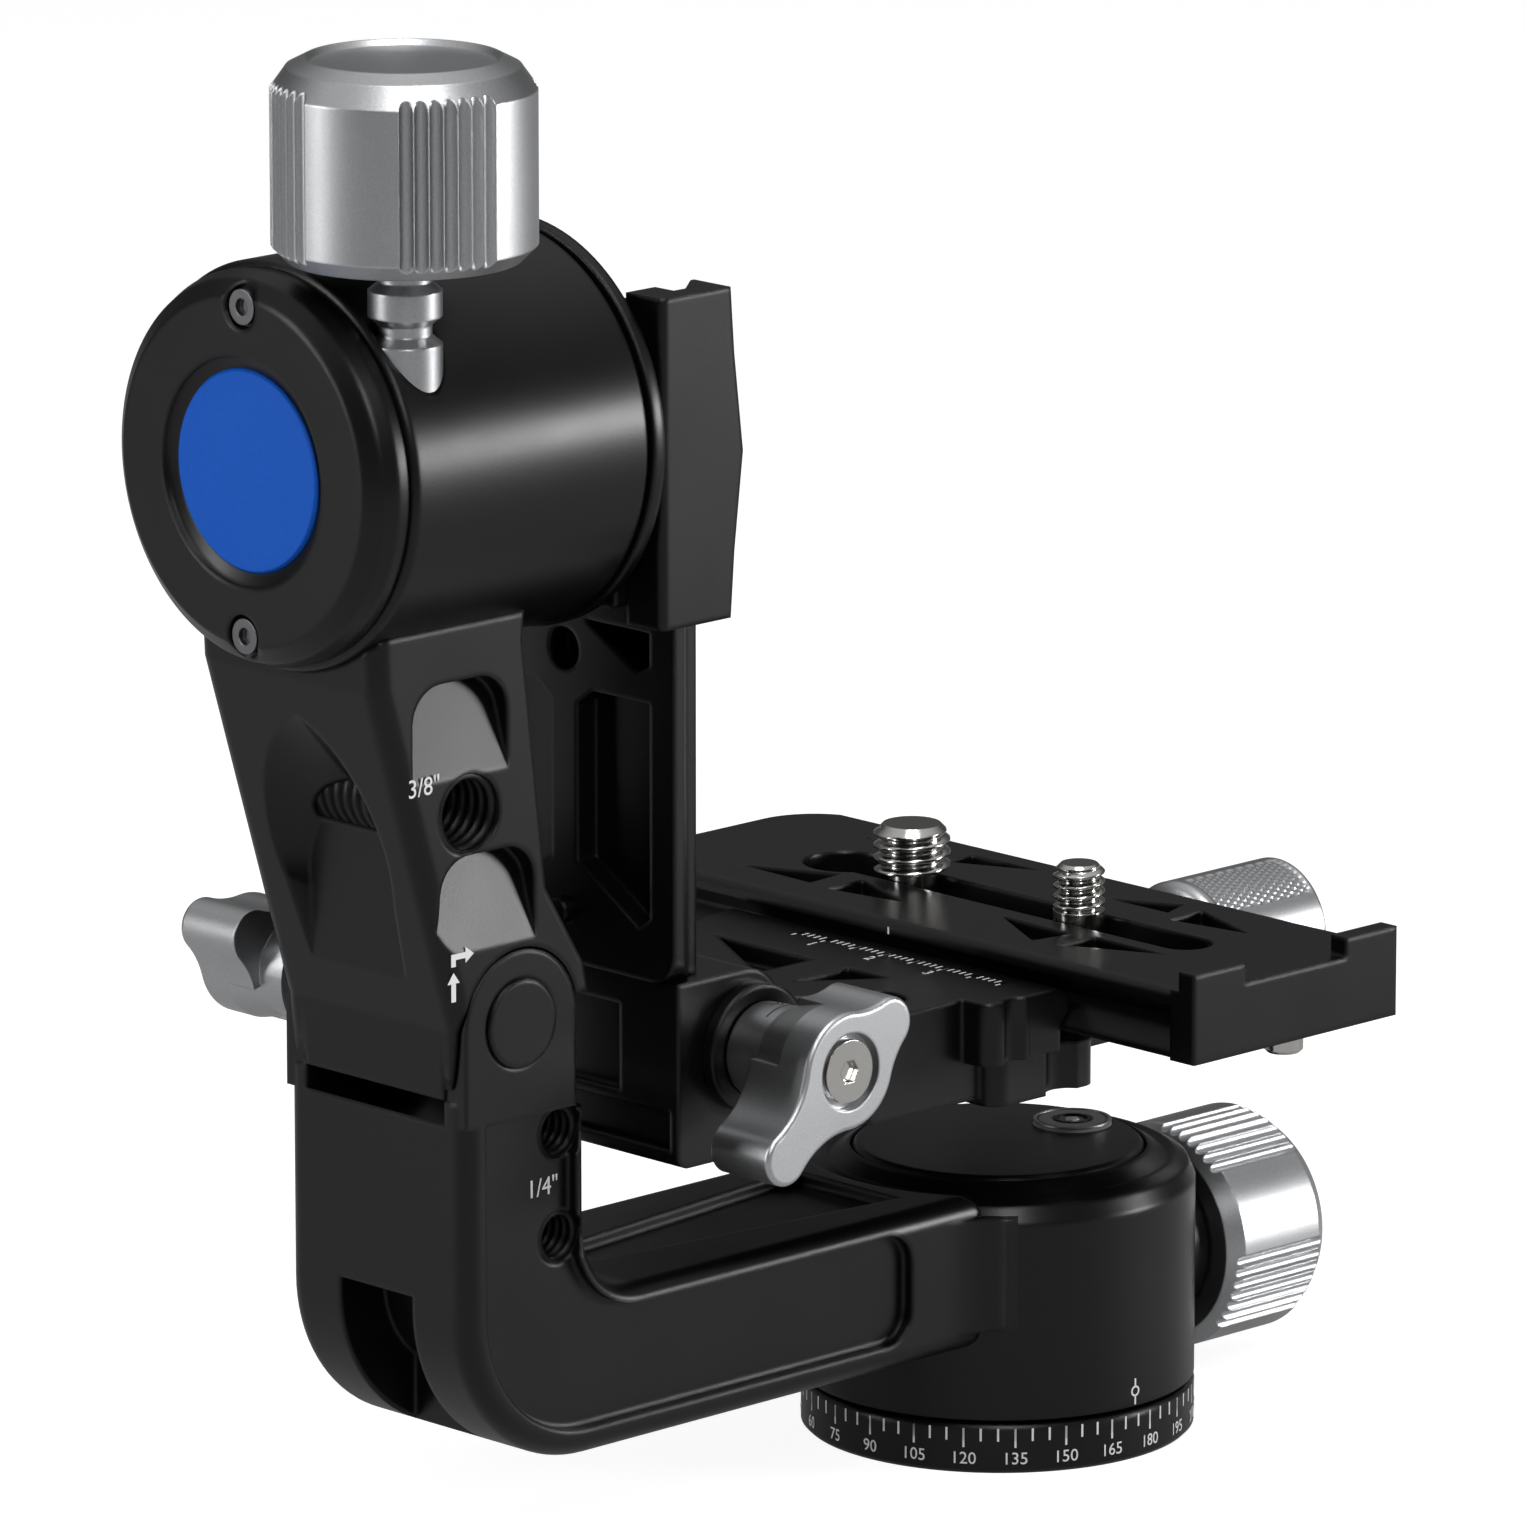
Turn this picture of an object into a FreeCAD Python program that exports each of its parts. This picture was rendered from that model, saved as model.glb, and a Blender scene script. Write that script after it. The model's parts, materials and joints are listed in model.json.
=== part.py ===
"""Gimbal tripod head: a folding side arm that carries a swinging rail and a lens platform.

Origin at the centre of the base's underside, +Z up. The pan axis is Z, the tilt axis runs
along X, the side arm stands on the -X side and the levers face -Y and +Y. Millimetres.
"""
import FreeCAD
import Part
import math
import os

V = FreeCAD.Vector

# Clearances
FIT = 0.05
GAP = 0.3
SEAM = 0.6

# Base and pan housing
BASE_R = 24.3
BASE_H = 6.2
HOUSING_TOP = 34.4
STEP_R = 21.6
COVER_R = 18.0
COVER_H = 1.4
PAN_SHAFT_R = 9.0
PAN_SHAFT_TOP = 26.0
MOUNT_BORE_R = 4.3
MOUNT_BORE_DEPTH = 11.0
BUBBLE_R = 4.9
BUBBLE_H = 0.6
BUBBLE_AT = (12.0, -1.0)

# Knobs
KNOB_R = 14.3
KNOB_LENGTH = 18.5
KNOB_AXIS_Z = 18.0
COLLAR_R = 10.0
COLLAR_LENGTH = 3.0
STEM_R = 3.0
FLUTES = 7
BANDS = 4
FLUTE_R = 0.75

# Side arm
ARM_HALF_Y = 15.5
ARM_THICK = 20.0
ARM_OUT_X = -104.0
ARM_BOTTOM = 15.8
ARM_TOP = 35.0
BEND_OUT_R = 20.0
BEND_IN_R = 8.5
EDGE_R = 2.4
PANEL_DEPTH = 1.6
PANEL_OUTER_RIM = 3.4
PANEL_INNER_RIM = 2.0
PANEL_END_R = 6.0
WINDOW_HALF_Y = 6.3
WINDOW_DEPTH = 7.0
FAIRING_R = 14.0
TOP_PANEL_HALF_Y = 9.0
TAPPED_HOLES_Z = (42.9, 55.7)
TAPPED_HOLES_X = -87.6

# Fold hinge
PIN_X = -95.0
PIN_Z = 70.5
PIN_R = 5.3
TONGUE_R = 8.8
CHEEK = 3.5
SWEEP_R = 14.4
PARTING_Z = 62.0

# Upper arm and tilt housing
LEAN = 13.4
NECK_INNER_X = -94.6
BOSS_TOP_Z = 82.0
LEAN_TOP_Z = 113.0
ARCH_TOP_Z = 111.0
ARCH_FLOOR_TOP_Z = 98.0
ARCH_FOOT_Z = 74.0
ARCH_HALF_Y = 13.0
ARCH_FLOOR_HALF_Y = 8.0
ARCH_FLOOR_X = -106.4
SCOOP_WIDTH = 15.0
SCOOP_HEIGHT = 11.5
SCOOP_DEPTH = 3.4
SCOOP_TOPS = ((-104.4, 113.0), (-100.2, 92.0))
BIG_HOLE = (-103.0, 96.9)
TILT_Z = 138.0
HOUSING_R = 24.0
HOUSING_OUT_X = -119.0
HOUSING_IN_X = -82.0
CAP_LENGTH = 5.0
CAP_FACE_R = 20.4
DISC_R = 12.0
BEZEL_R = 13.5
TILT_SHAFT_R = 9.0
FLANGE_R = HOUSING_R + 0.4
FLANGE_H = 1.6
CAP_SCREW_R = 2.1
CAP_SCREW_PITCH = 19.3

# Tilt lock knob on the slanted stem boss
LOCK_X = -114.0
LOCK_Y = -17.0
LOCK_KNOB_R = 15.3
LOCK_SEAT_Z = 147.0
LOCK_STEM_R = 4.3
LOCK_KNOB_Z = 164.0
LOCK_KNOB_LENGTH = 23.4

# Rail and its bracket
RAIL_X = -73.3
RAIL_THICK = 6.6
RAIL_HALF_Y = 18.8
RAIL_LOW = 71.4
RAIL_HIGH = 151.0
RAIL_WAIST = 3.2
RAIL_CORNER_R = 4.0
BRACKET_LOW = 115.6
BRACKET_HIGH = 155.0
BRACKET_HALF_Y = 22.0
BRACKET_JAW = 12.6
BRACKET_OUT_X = -78.3
BRACKET_IN_X = -65.6
JAW_SCREW_R = 1.5

# Lower clamp
BLOCK_OUT_X = -72.0
BLOCK_IN_X = -55.0
BLOCK_HALF_Y = 18.0
BLOCK_LOW = 48.8
LEVER_X = -60.5
LEVER_Z = 62.0
LEVER_HUB_R = 7.2
LEVER_NECK_R = 5.8
LEVER_LENGTH = 15.0
LEVER_LONG = 13.5
LEVER_SHORT = 8.2
LEVER_LONG_TURN = 220.5
LEVER_SHORT_TURN = 33.5
LEVER_WAIST_R = 10.0
WING_DEPTH = 9.6
TIP_R = 3.3
LEVER_SCREW_R = 3.8

# Platform, clamp and lens plate
TONGUE_HALF_Y = 16.5
TONGUE_H = 4.6
TONGUE_Z = 51.0
TONGUE_END_X = -71.0
DECK_LOW = 50.4
DECK_HIGH = 63.2
DECK_HALF_Y = 23.5
JAW_HALF_Y = 28.0
STEP_HALF_Y = 26.0
STEP_LOW = 49.5
STEP_HIGH = 55.4
DECK_POCKET = 2.6
BED_HALF_X = 21.5
BED_HALF_Y = 14.0
PLATE_LOW = 57.6
PLATE_HIGH = 66.3
PLATE_HALF_X = 17.6
PLATE_HALF_Y = 50.0
GROOVE_DEPTH = 3.0
POCKET_DEPTH = 2.2
PRONG_H = 2.4
SLOT_HALF = 3.4
CAMERA_SCREW_R = 4.7625
SMALL_SCREW_R = 3.175
SCREW_PROUD = 6.9
CAMERA_SCREW_Y = 15.2
SMALL_SCREW_Y = -13.6
QR_KNOB_R = 8.5
QR_KNOB_LENGTH = 20.0
QR_NECK_R = 5.0
QR_NECK_LENGTH = 7.4
QR_SCREW_R = 1.6
QR_SCREW_Z = 54.4
QR_SCREW_REACH = 5.0


def box(x0, x1, y0, y1, z0, z1):
    return Part.makeBox(x1 - x0, y1 - y0, z1 - z0, V(x0, y0, z0))


def rod(at, axis, radius, length):
    return Part.makeCylinder(radius, length, V(*at), V(*axis))


def rounded(shape, radius, along=None):
    """Fillet the straight edges, all or only those along one axis."""
    edges = []
    for edge in shape.Edges:
        if edge.Curve.TypeId != "Part::GeomLine":
            continue
        way = edge.tangentAt(edge.FirstParameter)
        if along is None or abs(way.dot(V(*along))) > 0.999:
            edges.append(edge)
    return shape.makeFillet(radius, edges)


def prism(points, at, axis):
    """Closed outline pushed along an axis vector."""
    corners = [V(*p) + V(*at) for p in points]
    return Part.Face(Part.makePolygon(corners + [corners[0]])).extrude(V(*axis))


def turned(outline, axis_at, axis):
    """Solid of revolution about Z from (radius, height) pairs, then laid along an axis."""
    points = [V(r, 0, h) for r, h in outline]
    body = Part.Face(Part.makePolygon(points + [points[0]])).revolve(V(0, 0, 0), V(0, 0, 1), 360)
    turn = FreeCAD.Rotation(V(0, 0, 1), V(*axis))
    body.Placement = FreeCAD.Placement(V(*axis_at), turn)
    return body


def fluted_knob(radius, length, at, axis):
    """Round knob with bands of flutes between smooth bands and chamfered shoulders."""
    edge = radius * 0.12
    outline = [(0, 0), (radius - edge, 0), (radius, edge), (radius, length - 2 * edge)]
    outline += [(radius - edge, length - edge * 0.6), (radius * 0.74, length)]
    outline += [(radius * 0.7, length - edge * 0.4), (0, length - edge * 0.4)]
    knob = turned(outline, (0, 0, 0), (0, 0, 1))
    band = 360.0 / BANDS
    cuts = []
    for k in range(BANDS):
        for i in range(FLUTES):
            angle = math.radians(k * band + (i + 0.5) * band / 2 / FLUTES)
            spot = (radius * math.cos(angle), radius * math.sin(angle), -1)
            cuts.append(rod(spot, (0, 0, 1), FLUTE_R * radius / KNOB_R, length + 2))
    knob = knob.cut(cuts)
    knob.Placement = FreeCAD.Placement(V(*at), FreeCAD.Rotation(V(0, 0, 1), V(*axis)))
    return knob


def wing(tip_x, tip_z):
    """Wing from the hub centre to a round tip in the XZ plane, with concave tangent sides."""
    span = math.hypot(tip_x, tip_z)
    near, far = LEVER_HUB_R + LEVER_WAIST_R, TIP_R + LEVER_WAIST_R
    along = (near * near - far * far + span * span) / (2 * span)
    off = math.sqrt(near * near - along * along)
    ux, uz = tip_x / span, tip_z / span
    waists = [(along * ux - side * off * uz, 0, along * uz + side * off * ux) for side in (1, -1)]
    web = prism([(0, 0, 0), waists[0], (tip_x, 0, tip_z), waists[1]], (0, 0, 0), (0, WING_DEPTH, 0))
    tip = rod((tip_x, 0, tip_z), (0, 1, 0), TIP_R, WING_DEPTH)
    return web.cut([rod(w, (0, 1, 0), LEVER_WAIST_R, WING_DEPTH) for w in waists]).fuse(tip)


def lever(at, facing):
    """Two-winged lever about a Y axis: coned hub, long wing, short wing and a screw pocket."""
    body = turned([(0, 0), (LEVER_NECK_R, 0), (LEVER_NECK_R + 0.3, LEVER_LENGTH - WING_DEPTH),
                   (LEVER_HUB_R, LEVER_LENGTH - WING_DEPTH * 0.5), (LEVER_HUB_R, LEVER_LENGTH),
                   (0, LEVER_LENGTH)], (0, 0, 0), (0, -1, 0))
    for length, turn in ((LEVER_LONG, LEVER_LONG_TURN), (LEVER_SHORT, LEVER_SHORT_TURN)):
        angle = math.radians(turn)
        arm = wing(length * math.cos(angle), length * math.sin(angle))
        arm.translate(V(0, -LEVER_LENGTH, 0))
        body = body.fuse(arm)
    body = body.removeSplitter()
    rim = [e for e in body.Edges if e.BoundBox.YMax < -LEVER_LENGTH + 0.01]
    body = body.makeFillet(0.6, rim)
    pocket = rod((0, -LEVER_LENGTH - 1, 0), (0, 1, 0), LEVER_SCREW_R + 0.9, 2.5)
    bore = rod((0, 1, 0), (0, -1, 0), STEM_R + FIT, LEVER_LENGTH + 2)
    body = body.cut([pocket, bore])
    if facing > 0:
        body.rotate(V(0, 0, 0), V(0, 0, 1), 180)
    body.translate(V(*at))
    return body


def lever_screw(at, facing, reach):
    """Cap screw in a lever's pocket whose shank runs back into the piece behind."""
    head_y = -LEVER_LENGTH + 0.2
    head = rod((0, head_y, 0), (0, 1, 0), LEVER_SCREW_R, 1.2)
    socket = prism([(1.5 * math.cos(k * math.pi / 3), 0, 1.5 * math.sin(k * math.pi / 3))
                    for k in range(6)], (0, head_y - 0.1, 0), (0, 0.9, 0))
    shank = rod((0, head_y + 1.0, 0), (0, 1, 0), STEM_R, LEVER_LENGTH + reach - 1.2)
    body = head.fuse(shank).cut(socket)
    if facing > 0:
        body.rotate(V(0, 0, 0), V(0, 0, 1), 180)
    body.translate(V(*at))
    return body


def base_dial():
    dial = turned([(0, 0), (BASE_R - 0.5, 0), (BASE_R, 0.5), (BASE_R, BASE_H - 0.4),
                   (BASE_R - 0.4, BASE_H), (0, BASE_H)], (0, 0, 0), (0, 0, 1))
    spindle = rod((0, 0, BASE_H), (0, 0, 1), PAN_SHAFT_R, PAN_SHAFT_TOP - BASE_H)
    return dial.fuse(spindle).cut(rod((0, 0, 0), (0, 0, 1), MOUNT_BORE_R, MOUNT_BORE_DEPTH))


def pan_housing():
    low = BASE_H + SEAM
    body = turned([(0, low), (BASE_R, low), (BASE_R, HOUSING_TOP - 3), (BASE_R - 0.9, HOUSING_TOP - 0.9),
                   (STEP_R, HOUSING_TOP), (STEP_R - 0.5, HOUSING_TOP - 0.5),
                   (COVER_R + 0.3, HOUSING_TOP + COVER_H - 0.4), (COVER_R + 0.3, HOUSING_TOP - 0.6),
                   (0, HOUSING_TOP - 0.6)], (0, 0, 0), (0, 0, 1))
    bore = rod((0, 0, low - 1), (0, 0, 1), PAN_SHAFT_R + FIT, PAN_SHAFT_TOP + GAP - low + 1)
    clamp = rod((0, 0, KNOB_AXIS_Z), (1, 0, 0), STEM_R + FIT, BASE_R + 5)
    return body.cut([bore, clamp])


def housing_cover():
    low = HOUSING_TOP - 0.6
    cover = turned([(0, low), (COVER_R, low), (COVER_R, low + COVER_H), (COVER_R - 0.6, low + COVER_H + 0.6),
                    (0, low + COVER_H + 0.6)], (0, 0, 0), (0, 0, 1))
    return cover.cut(rod((*BUBBLE_AT, low - 1), (0, 0, 1), BUBBLE_R, 5))


def bubble_vial():
    low = HOUSING_TOP - 0.6
    return turned([(0, 0), (BUBBLE_R, 0), (BUBBLE_R, COVER_H + 0.6), (BUBBLE_R - 0.8, COVER_H + 0.6 + BUBBLE_H),
                   (2.6, COVER_H + 0.6 + BUBBLE_H), (2.3, COVER_H + 0.4 + BUBBLE_H),
                   (0, COVER_H + 0.4 + BUBBLE_H)], (*BUBBLE_AT, low), (0, 0, 1))


def pan_collar():
    start = BASE_R - 1.6
    ring = rod((start, 0, KNOB_AXIS_Z), (1, 0, 0), COLLAR_R, COLLAR_LENGTH + 1.6)
    core = rod((0, 0, 0), (0, 0, 1), BASE_R, HOUSING_TOP)
    return ring.cut([core, rod((0, 0, KNOB_AXIS_Z), (1, 0, 0), STEM_R + FIT, BASE_R * 2)])


def pan_knob():
    start = BASE_R + COLLAR_LENGTH + GAP
    knob = fluted_knob(KNOB_R, KNOB_LENGTH, (start, 0, KNOB_AXIS_Z), (1, 0, 0))
    reach = PAN_SHAFT_R + GAP
    return knob.fuse(rod((reach, 0, KNOB_AXIS_Z), (1, 0, 0), STEM_R, start - reach + 2))


def bend_face(outer, inner, low_z, end_x, top_z):
    """L-shaped face in the XZ plane, drawn in by rims from the arm's outer and inner sides."""
    out_x, bottom = ARM_OUT_X + outer, ARM_BOTTOM + outer
    inner_x, top = ARM_OUT_X + ARM_THICK - inner, low_z - inner
    big, small = BEND_OUT_R - outer, BEND_IN_R + inner
    cx, cz, ix, iz = out_x + big, bottom + big, inner_x + small, top + small
    s = math.sqrt(0.5)
    p = [V(end_x, 0, bottom), V(cx, 0, bottom), V(out_x, 0, cz), V(out_x, 0, top_z),
         V(inner_x, 0, top_z), V(inner_x, 0, iz), V(ix, 0, top), V(end_x, 0, top)]
    bends = [Part.Arc(p[1], V(cx - s * big, 0, cz - s * big), p[2]).toShape(),
             Part.Arc(p[5], V(ix - s * small, 0, iz - s * small), p[6]).toShape()]
    lines = [(p[0], p[1]), (p[2], p[3]), (p[3], p[4]), (p[4], p[5]), (p[6], p[7]), (p[7], p[0])]
    parts = [Part.makeLine(a, b) for a, b in lines] + bends
    return Part.Face(Part.Wire(Part.__sortEdges__(parts)))


def lower_arm():
    face = bend_face(0, 0, ARM_TOP, 0, PARTING_Z)
    face.translate(V(0, -ARM_HALF_Y, 0))
    body = face.extrude(V(0, 2 * ARM_HALF_Y, 0))
    body = body.makeFillet(EDGE_R, [e for f in body.Faces if abs(f.normalAt(0, 0).y) > 0.99
                                    for e in f.Edges if e.BoundBox.ZMax < PARTING_Z - 0.01
                                    and e.BoundBox.XMax < -1 or e.BoundBox.XMax < ARM_OUT_X + 0.01])
    cheek_low = PARTING_Z - 3
    for y in (-ARM_HALF_Y, ARM_HALF_Y - CHEEK):
        cheek = box(PIN_X - TONGUE_R, PIN_X + TONGUE_R, y, y + CHEEK, cheek_low, PIN_Z)
        body = body.fuse([cheek, rod((PIN_X, y, PIN_Z), (0, 1, 0), TONGUE_R, CHEEK)])
    inside = ARM_HALF_Y - CHEEK
    sweep = rod((PIN_X, -inside, PIN_Z), (0, 1, 0), SWEEP_R, 2 * inside)
    keep = box(ARM_OUT_X - 1, PIN_X - TONGUE_R - 1, -inside, inside, PARTING_Z - 9, PARTING_Z)
    relief = box(PIN_X + TONGUE_R, PIN_X + SWEEP_R, -ARM_HALF_Y - 1, ARM_HALF_Y + 1, PIN_Z - 12, PIN_Z + 12)
    pin = rod((PIN_X, -ARM_HALF_Y - 1, PIN_Z), (0, 1, 0), PIN_R, 2 * ARM_HALF_Y + 2)
    body = body.cut([sweep.cut(keep), relief, pin]).fuse(arm_fairings())
    body = body.cut([rod((0, 0, 0), (0, 0, 1), BASE_R, 60), arm_panel(), arm_window(), top_panel()])
    for z in TAPPED_HOLES_Z:
        body = body.cut(rod((TAPPED_HOLES_X, -ARM_HALF_Y - 1, z), (0, 1, 0), SMALL_SCREW_R, 9))
    return body


def arm_fairings():
    """Concave webs that carry the level limb's sides onto the round pan housing."""
    off_y = ARM_HALF_Y + FAIRING_R
    off_x = math.sqrt((BASE_R + FAIRING_R) ** 2 - off_y ** 2)
    share = BASE_R / (BASE_R + FAIRING_R)
    webs = []
    for side in (-1, 1):
        points = [(-off_x, side * ARM_HALF_Y, 0), (-off_x * share, side * off_y * share, 0), (0, 0, 0),
                  (-off_x, 0, 0)]
        web = prism(points, (0, 0, ARM_BOTTOM + EDGE_R), (0, 0, ARM_TOP - ARM_BOTTOM - 2 * EDGE_R))
        waist = rod((-off_x, side * off_y, 0), (0, 0, 1), FAIRING_R, 60)
        webs.append(web.cut(waist))
    return webs


def arm_panel():
    """Sunk panel in the front face that follows the bend between two rims."""
    end_x = -BASE_R - PANEL_END_R
    face = bend_face(PANEL_OUTER_RIM, PANEL_INNER_RIM, ARM_TOP, end_x, PARTING_Z - 3)
    face.translate(V(0, -ARM_HALF_Y - 1, 0))
    sunk = face.extrude(V(0, PANEL_DEPTH + 1, 0))
    ends = [e for e in sunk.Edges if e.BoundBox.YLength > 1 and e.BoundBox.XMin > end_x - 0.1]
    return sunk.makeFillet(PANEL_END_R * 0.7, ends)


def arm_window():
    """Opening through the outer wall round the bend."""
    cx, cz = ARM_OUT_X + BEND_OUT_R, ARM_BOTTOM + BEND_OUT_R
    ring = rod((cx, -WINDOW_HALF_Y, cz), (0, 1, 0), BEND_OUT_R + 1, 2 * WINDOW_HALF_Y)
    ring = ring.cut(rod((cx, -WINDOW_HALF_Y - 1, cz), (0, 1, 0), BEND_OUT_R - WINDOW_DEPTH, 30))
    return ring.common(box(ARM_OUT_X - 1, cx - 8, -WINDOW_HALF_Y, WINDOW_HALF_Y, 0, cz + 1.5))


def top_panel():
    """Shallow tapered panel in the top of the level limb."""
    x0, x1 = ARM_OUT_X + ARM_THICK + BEND_IN_R + 4, -BASE_R - 2
    half = TOP_PANEL_HALF_Y
    points = [(x0, -half * 0.4, 0), (x1, -half, 0), (x1, half, 0), (x0, half * 0.4, 0)]
    return prism(points, (0, 0, ARM_TOP - 1.6), (0, 0, 4))


def hinge_pin():
    return rod((PIN_X, -ARM_HALF_Y - 0.4, PIN_Z), (0, 1, 0), PIN_R, 2 * ARM_HALF_Y + 0.4)


def upper_arm():
    top, low = TILT_Z, PARTING_Z + 0.15
    inner_x = ARM_OUT_X + ARM_THICK
    outline = [(ARM_OUT_X, 0, low), (ARM_OUT_X - 0.6, 0, PIN_Z), (ARM_OUT_X - LEAN, 0, LEAN_TOP_Z),
               (ARM_OUT_X - LEAN - 1.2, 0, top), (NECK_INNER_X + 2, 0, top), (NECK_INNER_X, 0, LEAN_TOP_Z + 3),
               (NECK_INNER_X + 3.6, 0, BOSS_TOP_Z + 4), (inner_x - 1, 0, BOSS_TOP_Z - 6),
               (inner_x, 0, PIN_Z), (inner_x, 0, low)]
    body = prism(outline, (0, -ARM_HALF_Y, 0), (0, 2 * ARM_HALF_Y, 0))
    outer = [e for e in body.Edges if e.BoundBox.YLength < 0.1 and e.BoundBox.XMax < ARM_OUT_X + 0.1]
    body = body.makeFillet(EDGE_R, outer)
    inside = ARM_HALF_Y - CHEEK - FIT * 2
    for y in (-ARM_HALF_Y - 1, inside):
        depth = ARM_HALF_Y + 1 - inside
        arch = rod((PIN_X, y, PIN_Z), (0, 1, 0), TONGUE_R + GAP, depth)
        skirt = box(PIN_X - TONGUE_R - GAP, PIN_X + SWEEP_R, y, y + depth, low - 1, PIN_Z)
        notch = box(PIN_X + TONGUE_R - 0.3, PIN_X + SWEEP_R, y, y + depth, PIN_Z - 1, PIN_Z + 2)
        body = body.cut([arch, skirt, notch])
    corner = box(PIN_X, PIN_X + SWEEP_R, -inside - 1, inside + 1, low - 1, PIN_Z - 9.0)
    pin = rod((PIN_X, -ARM_HALF_Y - 1, PIN_Z), (0, 1, 0), PIN_R + FIT, 2 * ARM_HALF_Y + 2)
    shell = rod((HOUSING_OUT_X - 1, 0, TILT_Z), (1, 0, 0), HOUSING_R, 50)
    hole = rod((BIG_HOLE[0], -ARM_HALF_Y - 1, BIG_HOLE[1]), (0, 1, 0), CAMERA_SCREW_R, 2 * ARM_HALF_Y + 2)
    cuts = [corner, pin, shell, hole, arm_arch()]
    return body.cut(cuts + [scoop(x, z) for x, z in SCOOP_TOPS])


def scoop(mid_x, top_z):
    """Thumb scoop in the front face: deepest under its top edge, running out at its foot."""
    face_y, half = -ARM_HALF_Y, SCOOP_WIDTH / 2
    blank = box(mid_x - half, mid_x + half, face_y - 2, face_y + SCOOP_DEPTH, top_z - 2 * SCOOP_HEIGHT, top_z)
    blank = rounded(blank, half * 0.6, (0, 1, 0))
    wedge = [(0, face_y - 1, top_z), (0, face_y + SCOOP_DEPTH, top_z), (0, face_y, top_z - SCOOP_HEIGHT),
             (0, face_y - 1, top_z - SCOOP_HEIGHT)]
    return blank.common(prism(wedge, (mid_x - half, 0, 0), (SCOOP_WIDTH, 0, 0)))


def arch_wire(x, half, top_z):
    """Upright arch outline at one X: straight sides under a half ellipse."""
    spring = ARCH_FOOT_Z + (top_z - ARCH_FOOT_Z) * 0.45
    rise = top_z - spring
    s = math.sqrt(0.5)
    left, right = V(x, half, spring), V(x, -half, spring)
    crown = V(x, 0, top_z)
    arcs = [Part.Arc(left, V(x, half * s, spring + rise * s), crown).toShape(),
            Part.Arc(crown, V(x, -half * s, spring + rise * s), right).toShape()]
    foot = [V(x, -half, ARCH_FOOT_Z), V(x, half, ARCH_FOOT_Z)]
    lines = [Part.makeLine(right, foot[0]), Part.makeLine(foot[0], foot[1]), Part.makeLine(foot[1], left)]
    return Part.Wire(arcs + lines)


def arm_arch():
    """Arched hollow in the leaning outer face, lofted down to an upright floor."""
    rim = arch_wire(ARM_OUT_X - LEAN - 1.2, ARCH_HALF_Y, ARCH_TOP_Z)
    floor = arch_wire(ARCH_FLOOR_X, ARCH_FLOOR_HALF_Y, ARCH_FLOOR_TOP_Z)
    return Part.makeLoft([rim, floor], True, True)


def tilt_housing():
    length = HOUSING_IN_X - HOUSING_OUT_X
    body = rod((HOUSING_OUT_X, 0, TILT_Z), (1, 0, 0), HOUSING_R, length)
    body = body.makeFillet(0.8, [e for e in body.Edges if e.Curve.TypeId == "Part::GeomCircle"])
    bore = rod((HOUSING_OUT_X + 6, 0, TILT_Z), (1, 0, 0), TILT_SHAFT_R + FIT, length)
    stem = rod((LOCK_X, LOCK_Y, LOCK_SEAT_Z), (0, 0, 1), LOCK_STEM_R, 40)
    return body.cut([bore, stem])


def tilt_cap():
    face = HOUSING_OUT_X - CAP_LENGTH
    cap = turned([(0, 0), (HOUSING_R - 0.8, 0), (HOUSING_R - 0.8, CAP_LENGTH * 0.35),
                  (HOUSING_R - 1.6, CAP_LENGTH * 0.7), (CAP_FACE_R, CAP_LENGTH),
                  (BEZEL_R, CAP_LENGTH), (BEZEL_R, CAP_LENGTH - 0.6), (DISC_R, CAP_LENGTH - 1.2),
                  (0, CAP_LENGTH - 1.2)], (HOUSING_OUT_X, 0, TILT_Z), (-1, 0, 0))
    pockets = []
    for side in (-1, 1):
        spot = (face - 1, 0, TILT_Z + side * CAP_SCREW_PITCH)
        pockets.append(rod(spot, (1, 0, 0), CAP_SCREW_R + 0.5, 2.6))
    return cap.cut(pockets)


def cap_disc():
    low = HOUSING_OUT_X - CAP_LENGTH + 1.2
    return turned([(0, 0), (DISC_R, 0), (DISC_R - 0.4, 0.5), (0, 0.5)], (low, 0, TILT_Z), (-1, 0, 0))


def cap_screws():
    solids = []
    for side in (-1, 1):
        x = HOUSING_OUT_X - CAP_LENGTH + 1.6
        head = rod((x, 0, TILT_Z + side * CAP_SCREW_PITCH), (-1, 0, 0), CAP_SCREW_R, 1.4)
        socket = rod((x - 1.5, 0, TILT_Z + side * CAP_SCREW_PITCH), (1, 0, 0), 1.0, 0.9)
        solids.append(head.cut(socket))
    return Part.makeCompound(solids)


def tilt_shaft():
    shaft = rod((HOUSING_OUT_X + 7, 0, TILT_Z), (1, 0, 0), TILT_SHAFT_R, HOUSING_IN_X - HOUSING_OUT_X - 7)
    flange = rod((HOUSING_IN_X + GAP, 0, TILT_Z), (1, 0, 0), FLANGE_R, FLANGE_H)
    neck = rod((HOUSING_IN_X, 0, TILT_Z), (1, 0, 0), TILT_SHAFT_R, GAP)
    return shaft.fuse([neck, flange])


def lock_stem():
    """Ringed stem between the housing and the lock knob."""
    r, high = LOCK_STEM_R, LOCK_KNOB_Z - GAP
    neck = r * 0.72
    outline = [(0, LOCK_SEAT_Z), (r, LOCK_SEAT_Z), (r, 154.2), (neck, 155.2), (neck, 156.4), (r, 157.4),
               (r, 160.4), (neck, 161.4), (neck, high), (0, high)]
    stem = turned(outline, (LOCK_X, LOCK_Y, 0), (0, 0, 1))
    return stem.cut(rod((LOCK_X, LOCK_Y, LOCK_SEAT_Z - 1), (0, 0, 1), STEM_R / 2 + FIT, 40))


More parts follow.
